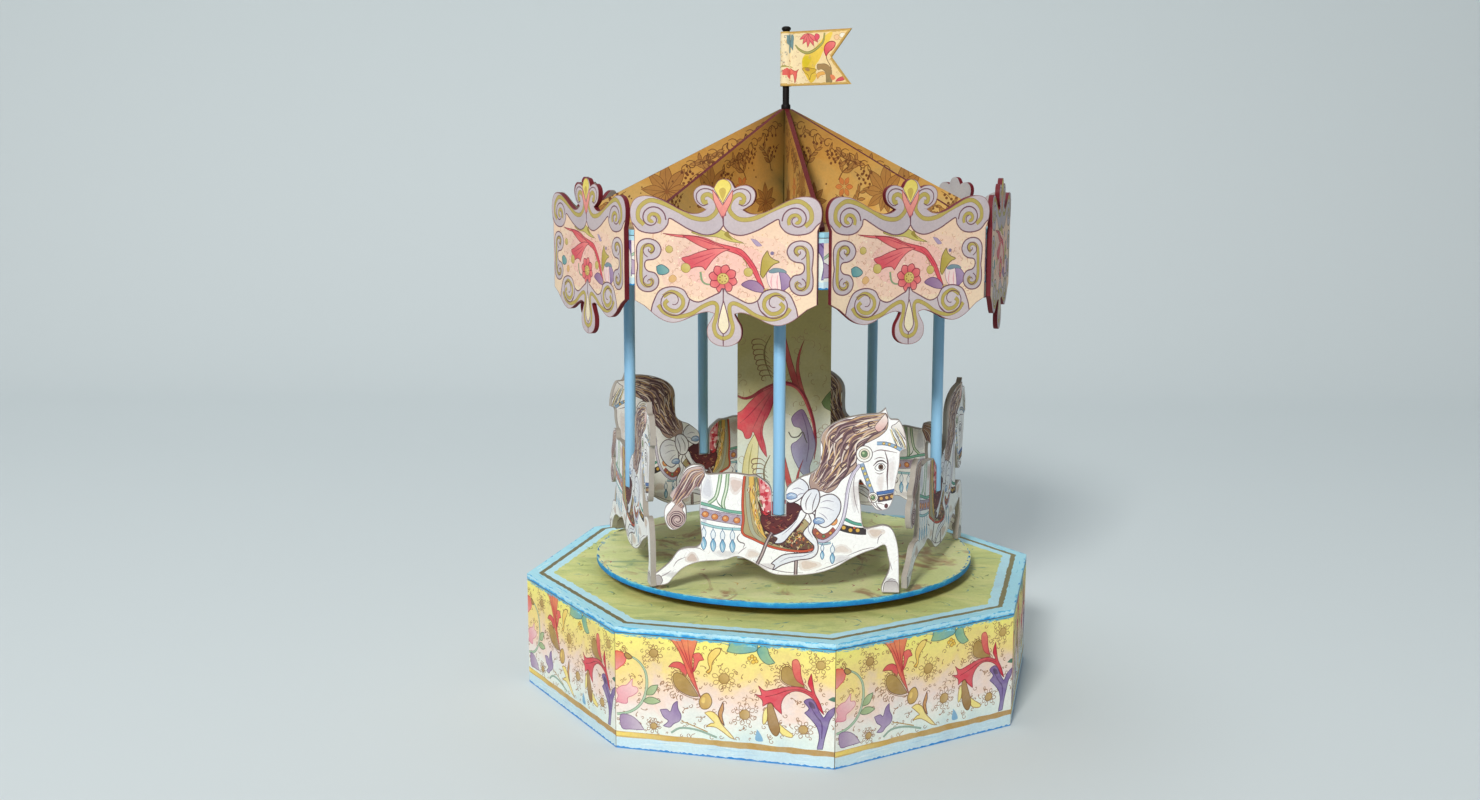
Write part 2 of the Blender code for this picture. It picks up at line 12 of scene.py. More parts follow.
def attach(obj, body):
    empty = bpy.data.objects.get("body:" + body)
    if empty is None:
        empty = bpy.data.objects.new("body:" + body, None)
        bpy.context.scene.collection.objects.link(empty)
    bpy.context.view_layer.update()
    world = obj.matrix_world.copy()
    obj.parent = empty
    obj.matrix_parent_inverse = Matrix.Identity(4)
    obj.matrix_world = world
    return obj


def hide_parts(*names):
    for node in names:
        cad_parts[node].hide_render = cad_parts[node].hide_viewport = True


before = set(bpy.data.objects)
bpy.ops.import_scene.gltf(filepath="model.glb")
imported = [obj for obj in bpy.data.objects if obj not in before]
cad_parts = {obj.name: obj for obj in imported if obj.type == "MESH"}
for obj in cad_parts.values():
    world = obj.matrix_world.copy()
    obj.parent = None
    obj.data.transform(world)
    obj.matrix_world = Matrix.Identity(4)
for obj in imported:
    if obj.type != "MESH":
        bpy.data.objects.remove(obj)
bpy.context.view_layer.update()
MM = 0.001

BASE_AP, BASE_TURN, SIDE_H = 110.866, 10.12, 49.4
CANOPY_TURN, DRUM_AP = 8.385, 95.6
POLE_TURN, POLE_RING = -1.5, 72.6


# ---------------------------------------------------------------- small helpers
def rgb(r, g, b):
    """Screen colour 0-255 to scene linear."""
    out = []
    for c in (r, g, b):
        c /= 255.0
        out.append(c / 12.92 if c <= 0.04045 else ((c + 0.055) / 1.055) ** 2.4)
    return tuple(out)


def smooth(points, parts=4, closed=True):
    """Points along a smooth line through the given ones."""
    pts = [np.array(p[:2], float) for p in points]
    n = len(pts)
    out = []
    for i in range(n if closed else n - 1):
        p1, p2 = pts[i], pts[(i + 1) % n]
        p0 = pts[i - 1] if closed or i else 2 * p1 - p2
        p3 = pts[(i + 2) % n] if closed or i < n - 2 else 2 * p2 - p1
        if len(points[i]) > 2:
            p0 = p1
        if len(points[(i + 1) % n]) > 2:
            p3 = p2
        if len(points[i]) > 2 and len(points[(i + 1) % n]) > 2:
            out.append(p1)
            continue
        for k in range(parts):
            t = k / parts
            out.append(0.5 * ((2 * p1) + (p2 - p0) * t + (2 * p0 - 5 * p1 + 4 * p2 - p3) * t * t + (3 * p1 - p0 - 3 * p2 + p3) * t ** 3))
    if not closed:
        out.append(pts[-1])
    return np.array(out)


def ribbon(path, widths):
    """Outline of a stroke along a path; widths is one number, or a pair or list spread along it."""
    path = np.asarray(path, float)
    n = len(path)
    if np.isscalar(widths):
        widths = [widths, widths]
    w = np.interp(np.linspace(0, 1, n), np.linspace(0, 1, len(widths)), widths)
    d = np.gradient(path, axis=0)
    length = np.hypot(d[:, 0], d[:, 1])
    length[length == 0] = 1
    normal = np.stack([-d[:, 1], d[:, 0]], 1) / length[:, None]
    return np.concatenate([path + normal * w[:, None] / 2, (path - normal * w[:, None] / 2)[::-1]])


def disc(x, y, r, n=14):
    a = np.linspace(0, 2 * math.pi, n, endpoint=False)
    return np.stack([x + r * np.cos(a), y + r * np.sin(a)], 1)


def winding(poly, pts):
    """Winding number of a closed polygon round each point."""
    x, y = pts[:, 0], pts[:, 1]
    total = np.zeros(len(pts), int)
    a, b = poly, np.roll(poly, -1, 0)
    for (x1, y1), (x2, y2) in zip(a, b):
        side = (x2 - x1) * (y - y1) - (x - x1) * (y2 - y1)
        total += ((y1 <= y) & (y2 > y) & (side > 0)).astype(int)
        total -= ((y1 > y) & (y2 <= y) & (side < 0)).astype(int)
    return total


class Art:
    """Layers of flat colour on a sheet, drawn in its own plane in millimetres. The last one laid is on top."""

    def __init__(self):
        self.layers = []

    def fill(self, poly, colour, second=None, way=None):
        """second and way=(dx, dy) shade the shape from colour to second along that direction."""
        self.layers.append((np.asarray(poly, float), colour, second, way))

    def line(self, path, width, colour):
        self.fill(ribbon(path, width), colour)

    def shape(self, poly, colour, edge=None, edge_w=0.3, second=None, way=None):
        poly = np.asarray(poly, float)
        self.fill(poly, colour, second, way)
        if edge is not None:
            self.line(np.concatenate([poly, poly[:2]]), edge_w, edge)


def sheet_mesh(name, outline, thick, art, ground, side, back=None, holes=(), squeeze=1.0, ground_mark=0.0, side_mark=1.0):
    """One closed sheet in XY, from -thick/2 to thick/2. Its faces are cut along the artwork. Colour alpha 0 marks bare ground."""
    loops = [np.asarray(outline, float)] + [np.asarray(h, float) for h in holes]
    low, high = loops[0].min(0), loops[0].max(0)
    verts, edges = [], []
    layers = [l for l in art.layers if (l[0].max(0) > low).all() and (l[0].min(0) < high).all()]
    for loop in loops + [l[0] for l in layers]:
        start, n = len(verts), len(loop)
        verts += [Vector((float(x), float(y))) for x, y in loop]
        edges += [(start + i, start + (i + 1) % n) for i in range(n)]
    vs, _, tris, *_ = geometry.delaunay_2d_cdt(verts, edges, [], 0, 1e-4)
    xy = np.array([(v.x, v.y) for v in vs])
    tris = np.array([t for t in tris if len(t) == 3])
    mid = xy[tris].mean(1)
    keep = winding(loops[0], mid) != 0
    for hole in loops[1:]:
        keep &= winding(hole, mid) == 0
    a, b, c = xy[tris[:, 0]], xy[tris[:, 1]], xy[tris[:, 2]]
    area = (b[:, 0] - a[:, 0]) * (c[:, 1] - a[:, 1]) - (c[:, 0] - a[:, 0]) * (b[:, 1] - a[:, 1])
    keep &= np.abs(area) > 1e-9
    tris, mid, area = tris[keep], mid[keep], area[keep]
    tris[area < 0] = tris[area < 0][:, ::-1]
    owner = np.full(len(tris), -1)
    for k, (poly, *_rest) in enumerate(layers):
        lo, hi = poly.min(0), poly.max(0)
        near = np.where((mid > lo).all(1) & (mid < hi).all(1))[0]
        if len(near):
            owner[near[winding(poly, mid[near]) != 0]] = k
    used = np.unique(tris)
    index = np.full(len(xy), -1)
    index[used] = np.arange(len(used))
    xy, tris = xy[used], index[tris]
    n = len(xy)
    ends = np.concatenate([tris[:, [0, 1]], tris[:, [1, 2]], tris[:, [2, 0]]])
    key = {tuple(e) for e in ends.tolist()}
    rim = [(p, q) for p, q in key if (q, p) not in key]
    rim.sort()
    back_xy = xy * np.array([squeeze, 1.0])
    points = np.concatenate([np.column_stack([xy, np.full(n, thick / 2)]), np.column_stack([back_xy, np.full(n, -thick / 2)])])
    faces = [tuple(t) for t in tris.tolist()] + [(t[2] + n, t[1] + n, t[0] + n) for t in tris.tolist()]
    faces += [(q, p, p + n, q + n) for p, q in rim]
    mesh = bpy.data.meshes.new(name)
    mesh.from_pydata((points * MM).tolist(), [], faces)
    colours = np.zeros((sum(len(f) for f in faces), 4), np.float32)
    flat_xy = xy[tris.reshape(-1)]
    front = np.zeros((len(flat_xy), 4), np.float32)
    front[:, :3] = ground
    front[:, 3] = ground_mark
    who = np.repeat(owner, 3)
    for k, (poly, colour, second, way) in enumerate(layers):
        mine = who == k
        if not mine.any():
            continue
        if colour is None:
            front[mine, :3] = ground
            front[mine, 3] = ground_mark
            continue
        value = np.tile(np.array(colour, float), (mine.sum(), 1))
        if second is not None:
            d = np.array(way, float) / np.hypot(*way)
            along = poly @ d
            t = np.clip((flat_xy[mine] @ d - along.min()) / max(np.ptp(along), 1e-6), 0, 1)[:, None]
            value = value * (1 - t) + np.array(second) * t
        front[mine, :3] = value
        front[mine, 3] = 0.875  # only print fades; edges and backs hold 1
    m = len(front)
    colours[:m] = front
    if back is None:
        colours[m:2 * m] = front.reshape(-1, 3, 4)[:, ::-1].reshape(-1, 4)
    else:
        colours[m:2 * m, :3] = back
        colours[m:2 * m, 3] = 1.0
    colours[2 * m:, :3] = side
    colours[2 * m:, 3] = side_mark
    layer = mesh.color_attributes.new("art", "FLOAT_COLOR", "CORNER")
    layer.data.foreach_set("color", colours.reshape(-1))
    mesh.update()
    return mesh


def upright(angle, distance):
    a = math.radians(angle)
    matrix = Matrix(((math.cos(a), math.sin(a), 0.0), (0.0, 0.0, 1.0), (math.sin(a), -math.cos(a), 0.0))).transposed().to_4x4()
    matrix.translation = Vector((math.sin(a), -math.cos(a), 0.0)) * distance * MM
    return matrix


def show(name, mesh, mat, body, nodes, matrix=None):
    obj = bpy.data.objects.new(name, mesh)
    bpy.context.scene.collection.objects.link(obj)
    if mat.name not in [m.name for m in mesh.materials if m]:
        mesh.materials.append(mat)
    obj.matrix_world = matrix if matrix is not None else Matrix.Identity(4)
    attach(obj, body)
    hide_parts(*nodes)
    return obj


# ---------------------------------------------------------------- materials
class Nodes:
    """Short ways to lay shader nodes."""

    def __init__(self, name):
        self.mat = bpy.data.materials.new(name)
        self.mat.use_nodes = True
        self.tree = self.mat.node_tree
        self.shader = self.tree.nodes["Principled BSDF"]
        self.coord = None

    def new(self, kind, **settings):
        node = self.tree.nodes.new(kind)
        for key, value in settings.items():
            setattr(node, key, value)
        return node

    def link(self, a, b):
        self.tree.links.new(a, b)

    def position(self):
        if self.coord is None:
            self.coord = self.new("ShaderNodeTexCoord").outputs["Object"]
        return self.coord

    def noise(self, scale, detail=3.0, rough=0.55, distort=0.0, stretch=None):
        where = self.position()
        if stretch:
            mapping = self.new("ShaderNodeMapping")
            mapping.inputs["Scale"].default_value = stretch
            self.link(where, mapping.inputs["Vector"])
            where = mapping.outputs["Vector"]
        node = self.new("ShaderNodeTexNoise")
        node.inputs["Scale"].default_value = scale
        node.inputs["Detail"].default_value = detail
        node.inputs["Roughness"].default_value = rough
        node.inputs["Distortion"].default_value = distort
        self.link(where, node.inputs["Vector"])
        return node.outputs["Fac"]

    def ramp(self, value, stops, mode="LINEAR"):
        node = self.new("ShaderNodeValToRGB")
        ramp = node.color_ramp
        ramp.interpolation = mode
        while len(ramp.elements) < len(stops):
            ramp.elements.new(0.5)
        for element, (place, colour) in zip(ramp.elements, stops):
            element.position = place
            element.color = (*colour, 1.0) if len(colour) == 3 else colour
        self.link(value, node.inputs["Fac"])
        return node.outputs["Color"]

    def span(self, value, low, high, to_low=0.0, to_high=1.0):
        node = self.new("ShaderNodeMapRange")
        for key, number in (("From Min", low), ("From Max", high), ("To Min", to_low), ("To Max", to_high)):
            node.inputs[key].default_value = number
        self.link(value, node.inputs["Value"])
        return node.outputs["Result"]

    def math(self, kind, a, b=None):
        node = self.new("ShaderNodeMath", operation=kind)
        for socket, value in zip(node.inputs, (a, b)):
            if value is None:
                continue
            if isinstance(value, (int, float)):
                socket.default_value = value
            else:
                self.link(value, socket)
        return node.outputs["Value"]

    def mix(self, fac, a, b, kind="MIX"):
        node = self.new("ShaderNodeMix", data_type="RGBA", blend_type=kind)
        for socket, value in ((node.inputs[0], fac), (node.inputs[6], a), (node.inputs[7], b)):
            if isinstance(value, (int, float)):
                socket.default_value = value
            elif isinstance(value, tuple):
                socket.default_value = (*value, 1.0)
            else:
                self.link(value, socket)
        return node.outputs[2]

    def axis(self, which):
        node = self.new("ShaderNodeSeparateXYZ")
        self.link(self.position(), node.inputs[0])
        return node.outputs[which]

    def bump(self, height, strength, distance=0.0004):
        node = self.new("ShaderNodeBump")
        node.inputs["Strength"].default_value = strength
        node.inputs["Distance"].default_value = distance
        self.link(height, node.inputs["Height"])
        self.link(node.outputs["Normal"], self.shader.inputs["Normal"])

    def finish(self, colour, rough, metallic=0.0, spec=None):
        if isinstance(colour, tuple):
            self.shader.inputs["Base Color"].default_value = (*colour, 1.0)
        else:
            self.link(colour, self.shader.inputs["Base Color"])
        if isinstance(rough, (int, float)):
            self.shader.inputs["Roughness"].default_value = rough
        else:
            self.link(rough, self.shader.inputs["Roughness"])
        self.shader.inputs["Metallic"].default_value = metallic
        if spec is not None:
            self.shader.inputs["Specular IOR Level"].default_value = spec
        return self.mat


def printed(name, stops=None, axis="Y", low=0.0, high=1.0, wash=0.10, rough=0.62, wobble=0.10, ground=None, rim=None, fade=0.0, painted_axis_shade=None):
    """Paper print: the mesh's art over a ground that fades along one axis, with watercolour mottling, grain and fibres;
    painted_axis_shade paints shade on the face that darkens towards the object's X axis.
    """
    n = Nodes(name)
    art = n.new("ShaderNodeAttribute", attribute_name="art")
    colour = art.outputs["Color"]
    cloud = n.noise(38.0, 4.0, 0.6, 0.6)
    if stops:
        t = n.span(n.axis(axis), low * MM, high * MM)
        t = n.math("ADD", t, n.span(cloud, 0.3, 0.7, -wobble, wobble))
        ground = lambda n: n.ramp(t, stops)
    if ground:
        mark = n.math("GREATER_THAN", art.outputs["Alpha"], 0.75)
        if fade:
            worn = n.span(n.noise(130.0, 5.0, 0.68, 0.4), 0.40, 0.70, 1.0, 1.0 - fade * 1.4)
            mark = n.math("MULTIPLY", mark, n.math("MAXIMUM", worn, n.math("GREATER_THAN", art.outputs["Alpha"], 0.95)))
        colour = n.mix(mark, ground(n), colour)
    if rim:
        mark = n.math("MULTIPLY", n.math("GREATER_THAN", art.outputs["Alpha"], 0.25), n.math("LESS_THAN", art.outputs["Alpha"], 0.75))
        colour = n.mix(mark, colour, rim(n))
    if painted_axis_shade:
        # painted shade: the printed face darkens as it nears the object's X axis, standing in for the shade in the
        # crease where the roof fins cross
        reach, dark = painted_axis_shade
        out = n.math("ADD", n.span(n.math("ABSOLUTE", n.axis("X")), 0.0, reach * MM), n.span(cloud, 0.3, 0.7, -0.14, 0.14))
        shade = n.ramp(out, [(0.0, dark), (0.35, tuple(0.45 * d + 0.55 for d in dark)), (0.75, (1, 1, 1))])
        colour = n.mix(n.math("LESS_THAN", art.outputs["Alpha"], 0.95), colour, n.mix(1.0, colour, shade, "MULTIPLY"))
    fine = n.noise(900.0, 3.0, 0.7)
    tint = n.ramp(cloud, [(0.25, (1 - wash * 1.3, 1 - wash * 1.4, 1 - wash * 1.2)), (0.5, (1, 1, 1)), (0.78, (1, 1 - wash * 0.3, 1 - wash * 0.7))])
    colour = n.mix(1.0, colour, tint, "MULTIPLY")
    grain = n.span(fine, 0.3, 0.7, 0.93, 1.05)
    shade = n.new("ShaderNodeCombineColor")
    for k in range(3):
        n.link(grain, shade.inputs[k])
    colour = n.mix(1.0, colour, shade.outputs[0], "MULTIPLY")
    n.bump(n.noise(420.0, 4.0, 0.65), 0.25, 0.0002)
    return n.finish(colour, n.span(cloud, 0.2, 0.8, rough - 0.08, rough + 0.1), spec=0.3)


INK = rgb(96, 62, 62)
SIDE_STOPS = [(0.0, rgb(214, 238, 240)), (0.16, rgb(232, 246, 238)), (0.34, rgb(244, 244, 236)), (0.46, rgb(250, 228, 218)), (0.58, rgb(250, 222, 196)),
              (0.70, rgb(252, 226, 146)), (1.0, rgb(252, 244, 132))]
CORAL, CORAL2, RED, PINK = rgb(236, 112, 84), rgb(222, 70, 66), rgb(222, 62, 78), rgb(240, 150, 160)
OCHRE, GOLD, YELLOW = rgb(184, 148, 82), rgb(196, 152, 62), rgb(250, 226, 122)
GREEN, TEAL, PURPLE, LILAC = rgb(150, 178, 130), rgb(128, 178, 162), rgb(118, 92, 150), rgb(168, 146, 186)


def side_print(grid, scale=1.0, curls=True):
    """The flower print, laid on a drawing grid 40-1580 wide and about 110-1085 down; grid() turns a grid point into millimetres."""
    art = Art()

    def g(points, parts=4, closed=True):
        return smooth([(*grid(p[0], p[1]), *p[2:]) for p in points], parts, closed)

    fine, thin = 0.34 * scale, 0.27 * scale
    rnd = random.Random(5)
    brown = rgb(158, 112, 74)

    def curl(x, y, r, start, turn):
        pts = []
        for k in range(9):
            t = k / 8
            rr = r * (1 - 0.75 * t)
            pts.append((x + rr * math.cos(start + turn * t * 5.6), y + rr * math.sin(start + turn * t * 5.6)))
        art.line(g(pts, 2, False), thin, brown)

    def daisy(x, y, r):
        if curls:
            for k in range(8):
                # open petals, each a loop drawn round from the middle and back, with a curl beyond every other one
                a = 2 * math.pi * k / 8 + 0.3 + rnd.uniform(-0.12, 0.12)
                px, py, far = math.cos(a), math.sin(a), r * rnd.uniform(1.9, 2.4)
                art.line(g([(x + r * px, y + r * py), (x + 0.75 * far * px - 0.42 * r * py, y + 0.75 * far * py + 0.42 * r * px), (x + far * px, y + far * py),
                            (x + 0.75 * far * px + 0.42 * r * py, y + 0.75 * far * py - 0.42 * r * px), (x + r * px * 1.02, y + r * py * 1.02)], 4, False), thin, brown)
                if k % 2:
                    curl(x + (far + 0.5 * r) * px, y + (far + 0.5 * r) * py, r * 0.42, a + 3.4, rnd.choice((-1, 1)))
        blob = [(x + r * (1 + 0.08 * math.sin(5 * a)) * math.cos(a), y + r * (1 + 0.08 * math.sin(5 * a)) * math.sin(a)) for a in np.linspace(0, 2 * math.pi, 10, endpoint=False)]
        art.shape(g(blob, 2), OCHRE, rgb(150, 112, 60), fine, rgb(206, 172, 108), (1, 1))

    if curls:
        for _ in range(250):
            x, y = rnd.uniform(50, 1570), rnd.uniform(150, 900)
            curl(x, y, rnd.uniform(9, 20), rnd.uniform(0, 6.28), rnd.choice((-1, 1)))
        for _ in range(60):
            # long thin tendrils that end in a curl
            x, y, a, r = rnd.uniform(60, 1560), rnd.uniform(180, 860), rnd.uniform(0, 6.28), rnd.uniform(24, 46)
            way = rnd.choice((-1, 1))
            pts = [(x + r * t * math.cos(a + way * 0.5 * t), y + r * t * math.sin(a + way * 0.5 * t)) for t in (0, 0.5, 1.0)]
            ex, ey = pts[-1]
            pts += [(ex + 9 * math.cos(a + way * (0.9 + u)) * (1 - 0.12 * u), ey + 9 * math.sin(a + way * (0.9 + u)) * (1 - 0.12 * u)) for u in (0.8, 1.8, 2.8, 3.8)]
            art.line(g(pts, 2, False), thin, brown)
    for spot in ((318, 255, 30), (815, 432, 37), (960, 690, 36), (1365, 795, 32), (315, 778, 24), (1480, 328, 31)):
        daisy(*spot)

    # green arc and its leaves, pink lily, coral bud
    art.line(g([(120, 285), (160, 283), (215, 320), (255, 380), (268, 450), (262, 530), (235, 600), (190, 650), (130, 680), (50, 692)], 3, False), [0.7 * scale, 1.3 * scale, 1.1 * scale], rgb(110, 138, 112))
    art.line(g([(120, 285), (160, 283), (215, 320), (255, 380), (268, 450), (262, 530), (235, 600), (190, 650), (130, 680), (50, 692)], 3, False), [0.3 * scale, 0.8 * scale, 0.7 * scale], rgb(176, 204, 176))
    art.shape(g([(40, 250), (75, 246), (105, 262), (120, 290), (108, 330), (80, 352), (40, 370)]), CORAL, CORAL2, fine, PINK, (0, -1))
    art.shape(g([(108, 262), (130, 255), (165, 285), (140, 300), (118, 288)]), OCHRE, INK, fine)
    art.shape(g([(45, 600), (60, 560), (48, 520), (85, 490), (120, 485), (150, 455), (165, 442), (162, 490), (195, 500), (202, 530), (165, 560), (130, 575), (125, 612), (95, 616), (60, 606)]), rgb(238, 158, 170), rgb(214, 128, 146), fine, rgb(250, 214, 216), (1, 1))
    for leaf in ([(262, 555, 1), (270, 520), (300, 490), (348, 482, 1), (335, 520), (310, 552)], [(240, 598, 1), (280, 570), (330, 578), (366, 602, 1), (320, 620), (270, 616)]):
        art.shape(g(leaf), GREEN, rgb(92, 120, 92), fine, rgb(186, 206, 160), (1, 0))
    # lilac bloom and stems along the bottom
    art.line(g([(440, 826), (500, 792), (580, 795), (660, 815), (765, 858)], 3, False), [0.9 * scale, 0.9 * scale], rgb(150, 176, 160))
    art.line(g([(515, 742), (570, 762), (640, 792), (700, 818)], 3, False), 0.45 * scale, OCHRE)
    art.shape(g([(362, 660, 1), (410, 656), (435, 675), (455, 622), (486, 596, 1), (490, 650), (512, 700), (500, 740), (460, 760), (430, 786), (383, 776, 1), (420, 742), (385, 710)]), rgb(140, 112, 164), rgb(98, 74, 120), fine, rgb(186, 166, 200), (-1, -1))
    art.shape(g([(75, 700), (140, 700), (200, 740), (246, 806, 1), (150, 802), (85, 792)]), rgb(168, 142, 178), rgb(130, 104, 140), fine, rgb(206, 190, 208), (1, 0))
    # coral trumpet
    art.shape(g([(545, 420), (500, 370), (462, 355), (424, 352, 1), (458, 320), (510, 320), (552, 362)]), rgb(226, 84, 92), rgb(150, 40, 58), fine)
    art.shape(g([(600, 385), (604, 300), (598, 262), (640, 250), (660, 270), (674, 300, 1), (640, 310), (622, 350)]), rgb(236, 100, 100), rgb(160, 48, 60), fine)
    art.shape(g([(655, 582, 1), (602, 480), (560, 400), (524, 300), (478, 205), (398, 112, 1), (645, 112, 1), (612, 220), (592, 300), (600, 400), (622, 480)]), rgb(240, 128, 96), rgb(168, 52, 56), fine, rgb(222, 72, 78), (0, -1))
    for vein in ([(505, 130), (540, 240), (580, 360), (625, 500)], [(560, 130), (568, 250), (592, 380), (635, 520)], [(470, 150), (520, 240), (560, 330), (600, 430)]):
        art.line(g(vein, 3, False), [0.2 * scale, 0.5 * scale, 0.25 * scale], rgb(196, 60, 66))
    # fringed teardrops
    for drop, around in (([(455, 420), (475, 394), (515, 400), (560, 440), (600, 500), (638, 562, 1), (590, 562), (540, 545), (490, 512), (462, 470)], (520, 475)),
                         ([(1210, 392), (1222, 350), (1260, 338), (1300, 380), (1340, 440), (1374, 488, 1), (1310, 482), (1250, 466), (1215, 436)], (1275, 420))):
        outer = [(around[0] + (p[0] - around[0]) * 1.16, around[1] + (p[1] - around[1]) * 1.16) for p in drop]
        if curls:
            for k in range(12):
                a = math.radians(95 + 15 * k)
                px, py = around[0] + 78 * math.cos(a), around[1] + 78 * math.sin(a)
                art.line(g([(px, py), (px + 26 * math.cos(a + 0.25), py + 26 * math.sin(a + 0.25)), (px + 40 * math.cos(a - 0.15), py + 40 * math.sin(a - 0.15))], 2, False), fine, brown)
        art.line(g(outer), fine, rgb(150, 104, 60))
        art.shape(g(drop), OCHRE, rgb(120, 86, 40), fine, rgb(168, 134, 70), (1, -1))
    # bud, yellow and brown leaves
    art.shape(g([(640, 590), (665, 550), (700, 538), (724, 570), (729, 610), (705, 647), (665, 652), (645, 628)]), GOLD, rgb(110, 76, 24), fine, rgb(226, 188, 96), (1, 1))
    art.shape(g([(655, 600), (665, 568), (684, 575), (676, 610)]), rgb(240, 206, 110))
    art.shape(g([(678, 680, 1), (722, 668), (770, 700), (800, 760), (860, 830), (892, 872, 1), (850, 852), (800, 812), (750, 782), (688, 778, 1), (722, 756), (746, 750), (715, 715)]), YELLOW, rgb(170, 128, 60), fine, rgb(252, 236, 168), (1, 0))
    art.shape(g([(775, 690), (785, 650), (808, 598, 1), (813, 650), (802, 700), (818, 772, 1), (795, 742)]), rgb(206, 152, 96), INK, fine)
    art.shape(g([(792, 226), (770, 214), (735, 230), (705, 270), (704, 320), (714, 360), (688, 385, 1), (706, 394), (728, 370), (733, 320), (762, 280), (782, 256)]), rgb(244, 196, 92), rgb(140, 92, 40), fine, rgb(252, 224, 128), (1, 1))
    # leaves under the rim
    art.shape(g([(835, 236, 1), (850, 200), (880, 112, 1), (1045, 112, 1), (1045, 220), (1000, 242), (930, 252), (870, 246)]), rgb(140, 188, 148), rgb(76, 118, 104), fine, rgb(120, 180, 190), (1, 0))
    art.shape(g([(1045, 225), (1070, 200), (1112, 205), (1130, 260), (1168, 314, 1), (1120, 326), (1080, 300), (1055, 262)]), rgb(112, 172, 160), rgb(70, 112, 104), fine, rgb(160, 200, 150), (1, 0))
    for x, y, r in ((990, 285, 12), (1010, 270, 12), (1030, 285, 12), (1040, 305, 12), (1018, 310, 14)):
        art.shape(g([(x + r * math.cos(a), y + r * math.sin(a)) for a in np.linspace(0, 6.28, 7, endpoint=False)], 2), rgb(246, 204, 84), rgb(180, 130, 50), fine)
    # red acanthus with its petal and the leaves that hang from it
    art.shape(g([(1285, 330), (1290, 296), (1320, 289), (1340, 330), (1346, 400), (1368, 474, 1), (1320, 442), (1295, 390)]), rgb(240, 120, 112), rgb(180, 58, 66), fine, rgb(222, 76, 84), (0, -1))
    art.shape(g([(1085, 742), (1090, 670), (1116, 638), (1117, 720), (1095, 758)]), rgb(250, 236, 150), rgb(170, 130, 60), fine)
    art.shape(g([(1180, 740), (1240, 790), (1292, 832), (1280, 852), (1220, 832), (1195, 790)]), rgb(250, 232, 140), rgb(170, 130, 60), fine)
    art.shape(g([(1118, 618), (1146, 608), (1166, 660), (1192, 740), (1203, 800), (1182, 842), (1150, 822), (1124, 760), (1119, 690)]), rgb(186, 150, 96), rgb(130, 94, 54), fine, rgb(160, 124, 80), (0, -1))
    art.shape(g([(1028, 540, 1), (1076, 546), (1054, 478, 1), (1100, 515), (1180, 500), (1260, 484), (1350, 488), (1420, 520), (1394, 460), (1417, 386, 1), (1426, 450), (1442, 530), (1476, 600), (1503, 684, 1), (1468, 640), (1430, 572), (1370, 528), (1300, 516), (1240, 550), (1212, 610), (1216, 684, 1), (1170, 640), (1140, 600), (1084, 628, 1), (1080, 582)]), rgb(232, 92, 104), rgb(150, 34, 56), fine, rgb(214, 44, 66), (1, 0))
    art.line(g([(1100, 560), (1180, 540), (1260, 510), (1350, 508), (1430, 545)], 3, False), [0.2 * scale, 0.45 * scale, 0.2 * scale], rgb(160, 30, 52))
    # purple acanthus
    art.shape(g([(1368, 590), (1410, 568), (1442, 595), (1462, 640), (1490, 690), (1506, 704), (1532, 660), (1578, 628, 1), (1572, 680), (1546, 720), (1530, 780), (1512, 850), (1497, 935, 1), (1459, 935, 1), (1474, 850), (1460, 780), (1420, 722), (1372, 672, 1), (1402, 640)]), rgb(126, 96, 156), rgb(76, 52, 106), fine, rgb(150, 138, 184), (0, -1))
    art.line(g([(1410, 620), (1450, 690), (1490, 750), (1490, 860)], 3, False), [0.3 * scale, 0.6 * scale, 0.3 * scale], rgb(92, 66, 120))
    art.shape(g([(1400, 590), (1430, 600), (1445, 640), (1410, 630)]), rgb(84, 58, 104))
    art.shape(g([(1034, 872), (1046, 794, 1), (1076, 840), (1086, 882)]), rgb(132, 182, 216))
    art.shape(g([(1530, 575, 1), (1560, 555), (1582, 560), (1580, 590)]), rgb(92, 132, 110))
    return art


def torn(x0, x1, y, depth, rnd, step=1.1):
    """A ragged brushed edge between two heights: points from x0 to x1."""
    out, x = [], x0
    while x < x1:
        out.append((x, y + rnd.uniform(-depth, depth)))
        x += step * rnd.uniform(0.5, 1.5)
    out.append((x1, y + rnd.uniform(-depth, depth)))
    return out


def torn_line(a, b, depth, rnd, step=1.0):
    a, b = np.array(a, float), np.array(b, float)
    count = max(2, int(np.hypot(*(b - a)) / step))
    return [a + (b - a) * k / count + (0, rnd.uniform(-depth, depth)) for k in range(count + 1)]


# ---------------------------------------------------------------- base side boards
def side_grid(x, y):
    s = (x - 40) / 1540
    top, low = 112 + 108 * s, 935 + 148 * s
    return -45.9 + 91.8 * s, 49.4 * (1 - (y - top) / (low - top))


WIDE = BASE_AP * math.tan(math.radians(22.5)) - 0.15
art = side_print(side_grid)
rnd = random.Random(11)
W = WIDE + 0.5
art.fill(torn(-W, W, 5.6, 0.12, rnd, 3.0) + [(W, -1), (-W, -1)], rgb(206, 232, 242))
art.fill(torn(-W, W, 5.0, 0.25, rnd, 4.0) + torn(-W, W, 7.5, 0.25, rnd, 4.0)[::-1], rgb(214, 176, 96), rgb(186, 146, 84), (1, 0))
art.fill(torn(-W, -20, 5.3, 0.2, rnd, 3.0) + torn(-W, -20, 7.0, 0.2, rnd, 3.0)[::-1], rgb(248, 222, 116), rgb(214, 176, 96), (1, 0))
for k in range(26):
    x = rnd.uniform(-W, W - 8)
    y = rnd.uniform(0.8, 4.6)
    art.line([(x, y), (x + 2, y + rnd.uniform(-.15, .15)), (x + rnd.uniform(4, 9), y + rnd.uniform(-.2, .2))], [0.05, 0.3, 0.05], rnd.choice((rgb(176, 214, 236), rgb(228, 244, 248))))
art.fill(torn(-W, W, 0.7, 0.32, rnd, 0.9) + [(W, -1), (-W, -1)], rgb(40, 140, 214))
art.fill(torn(-W, W, 48.7, 0.42, rnd, 0.9)[::-1] + [(-W, 51), (W, 51)], rgb(72, 176, 214))
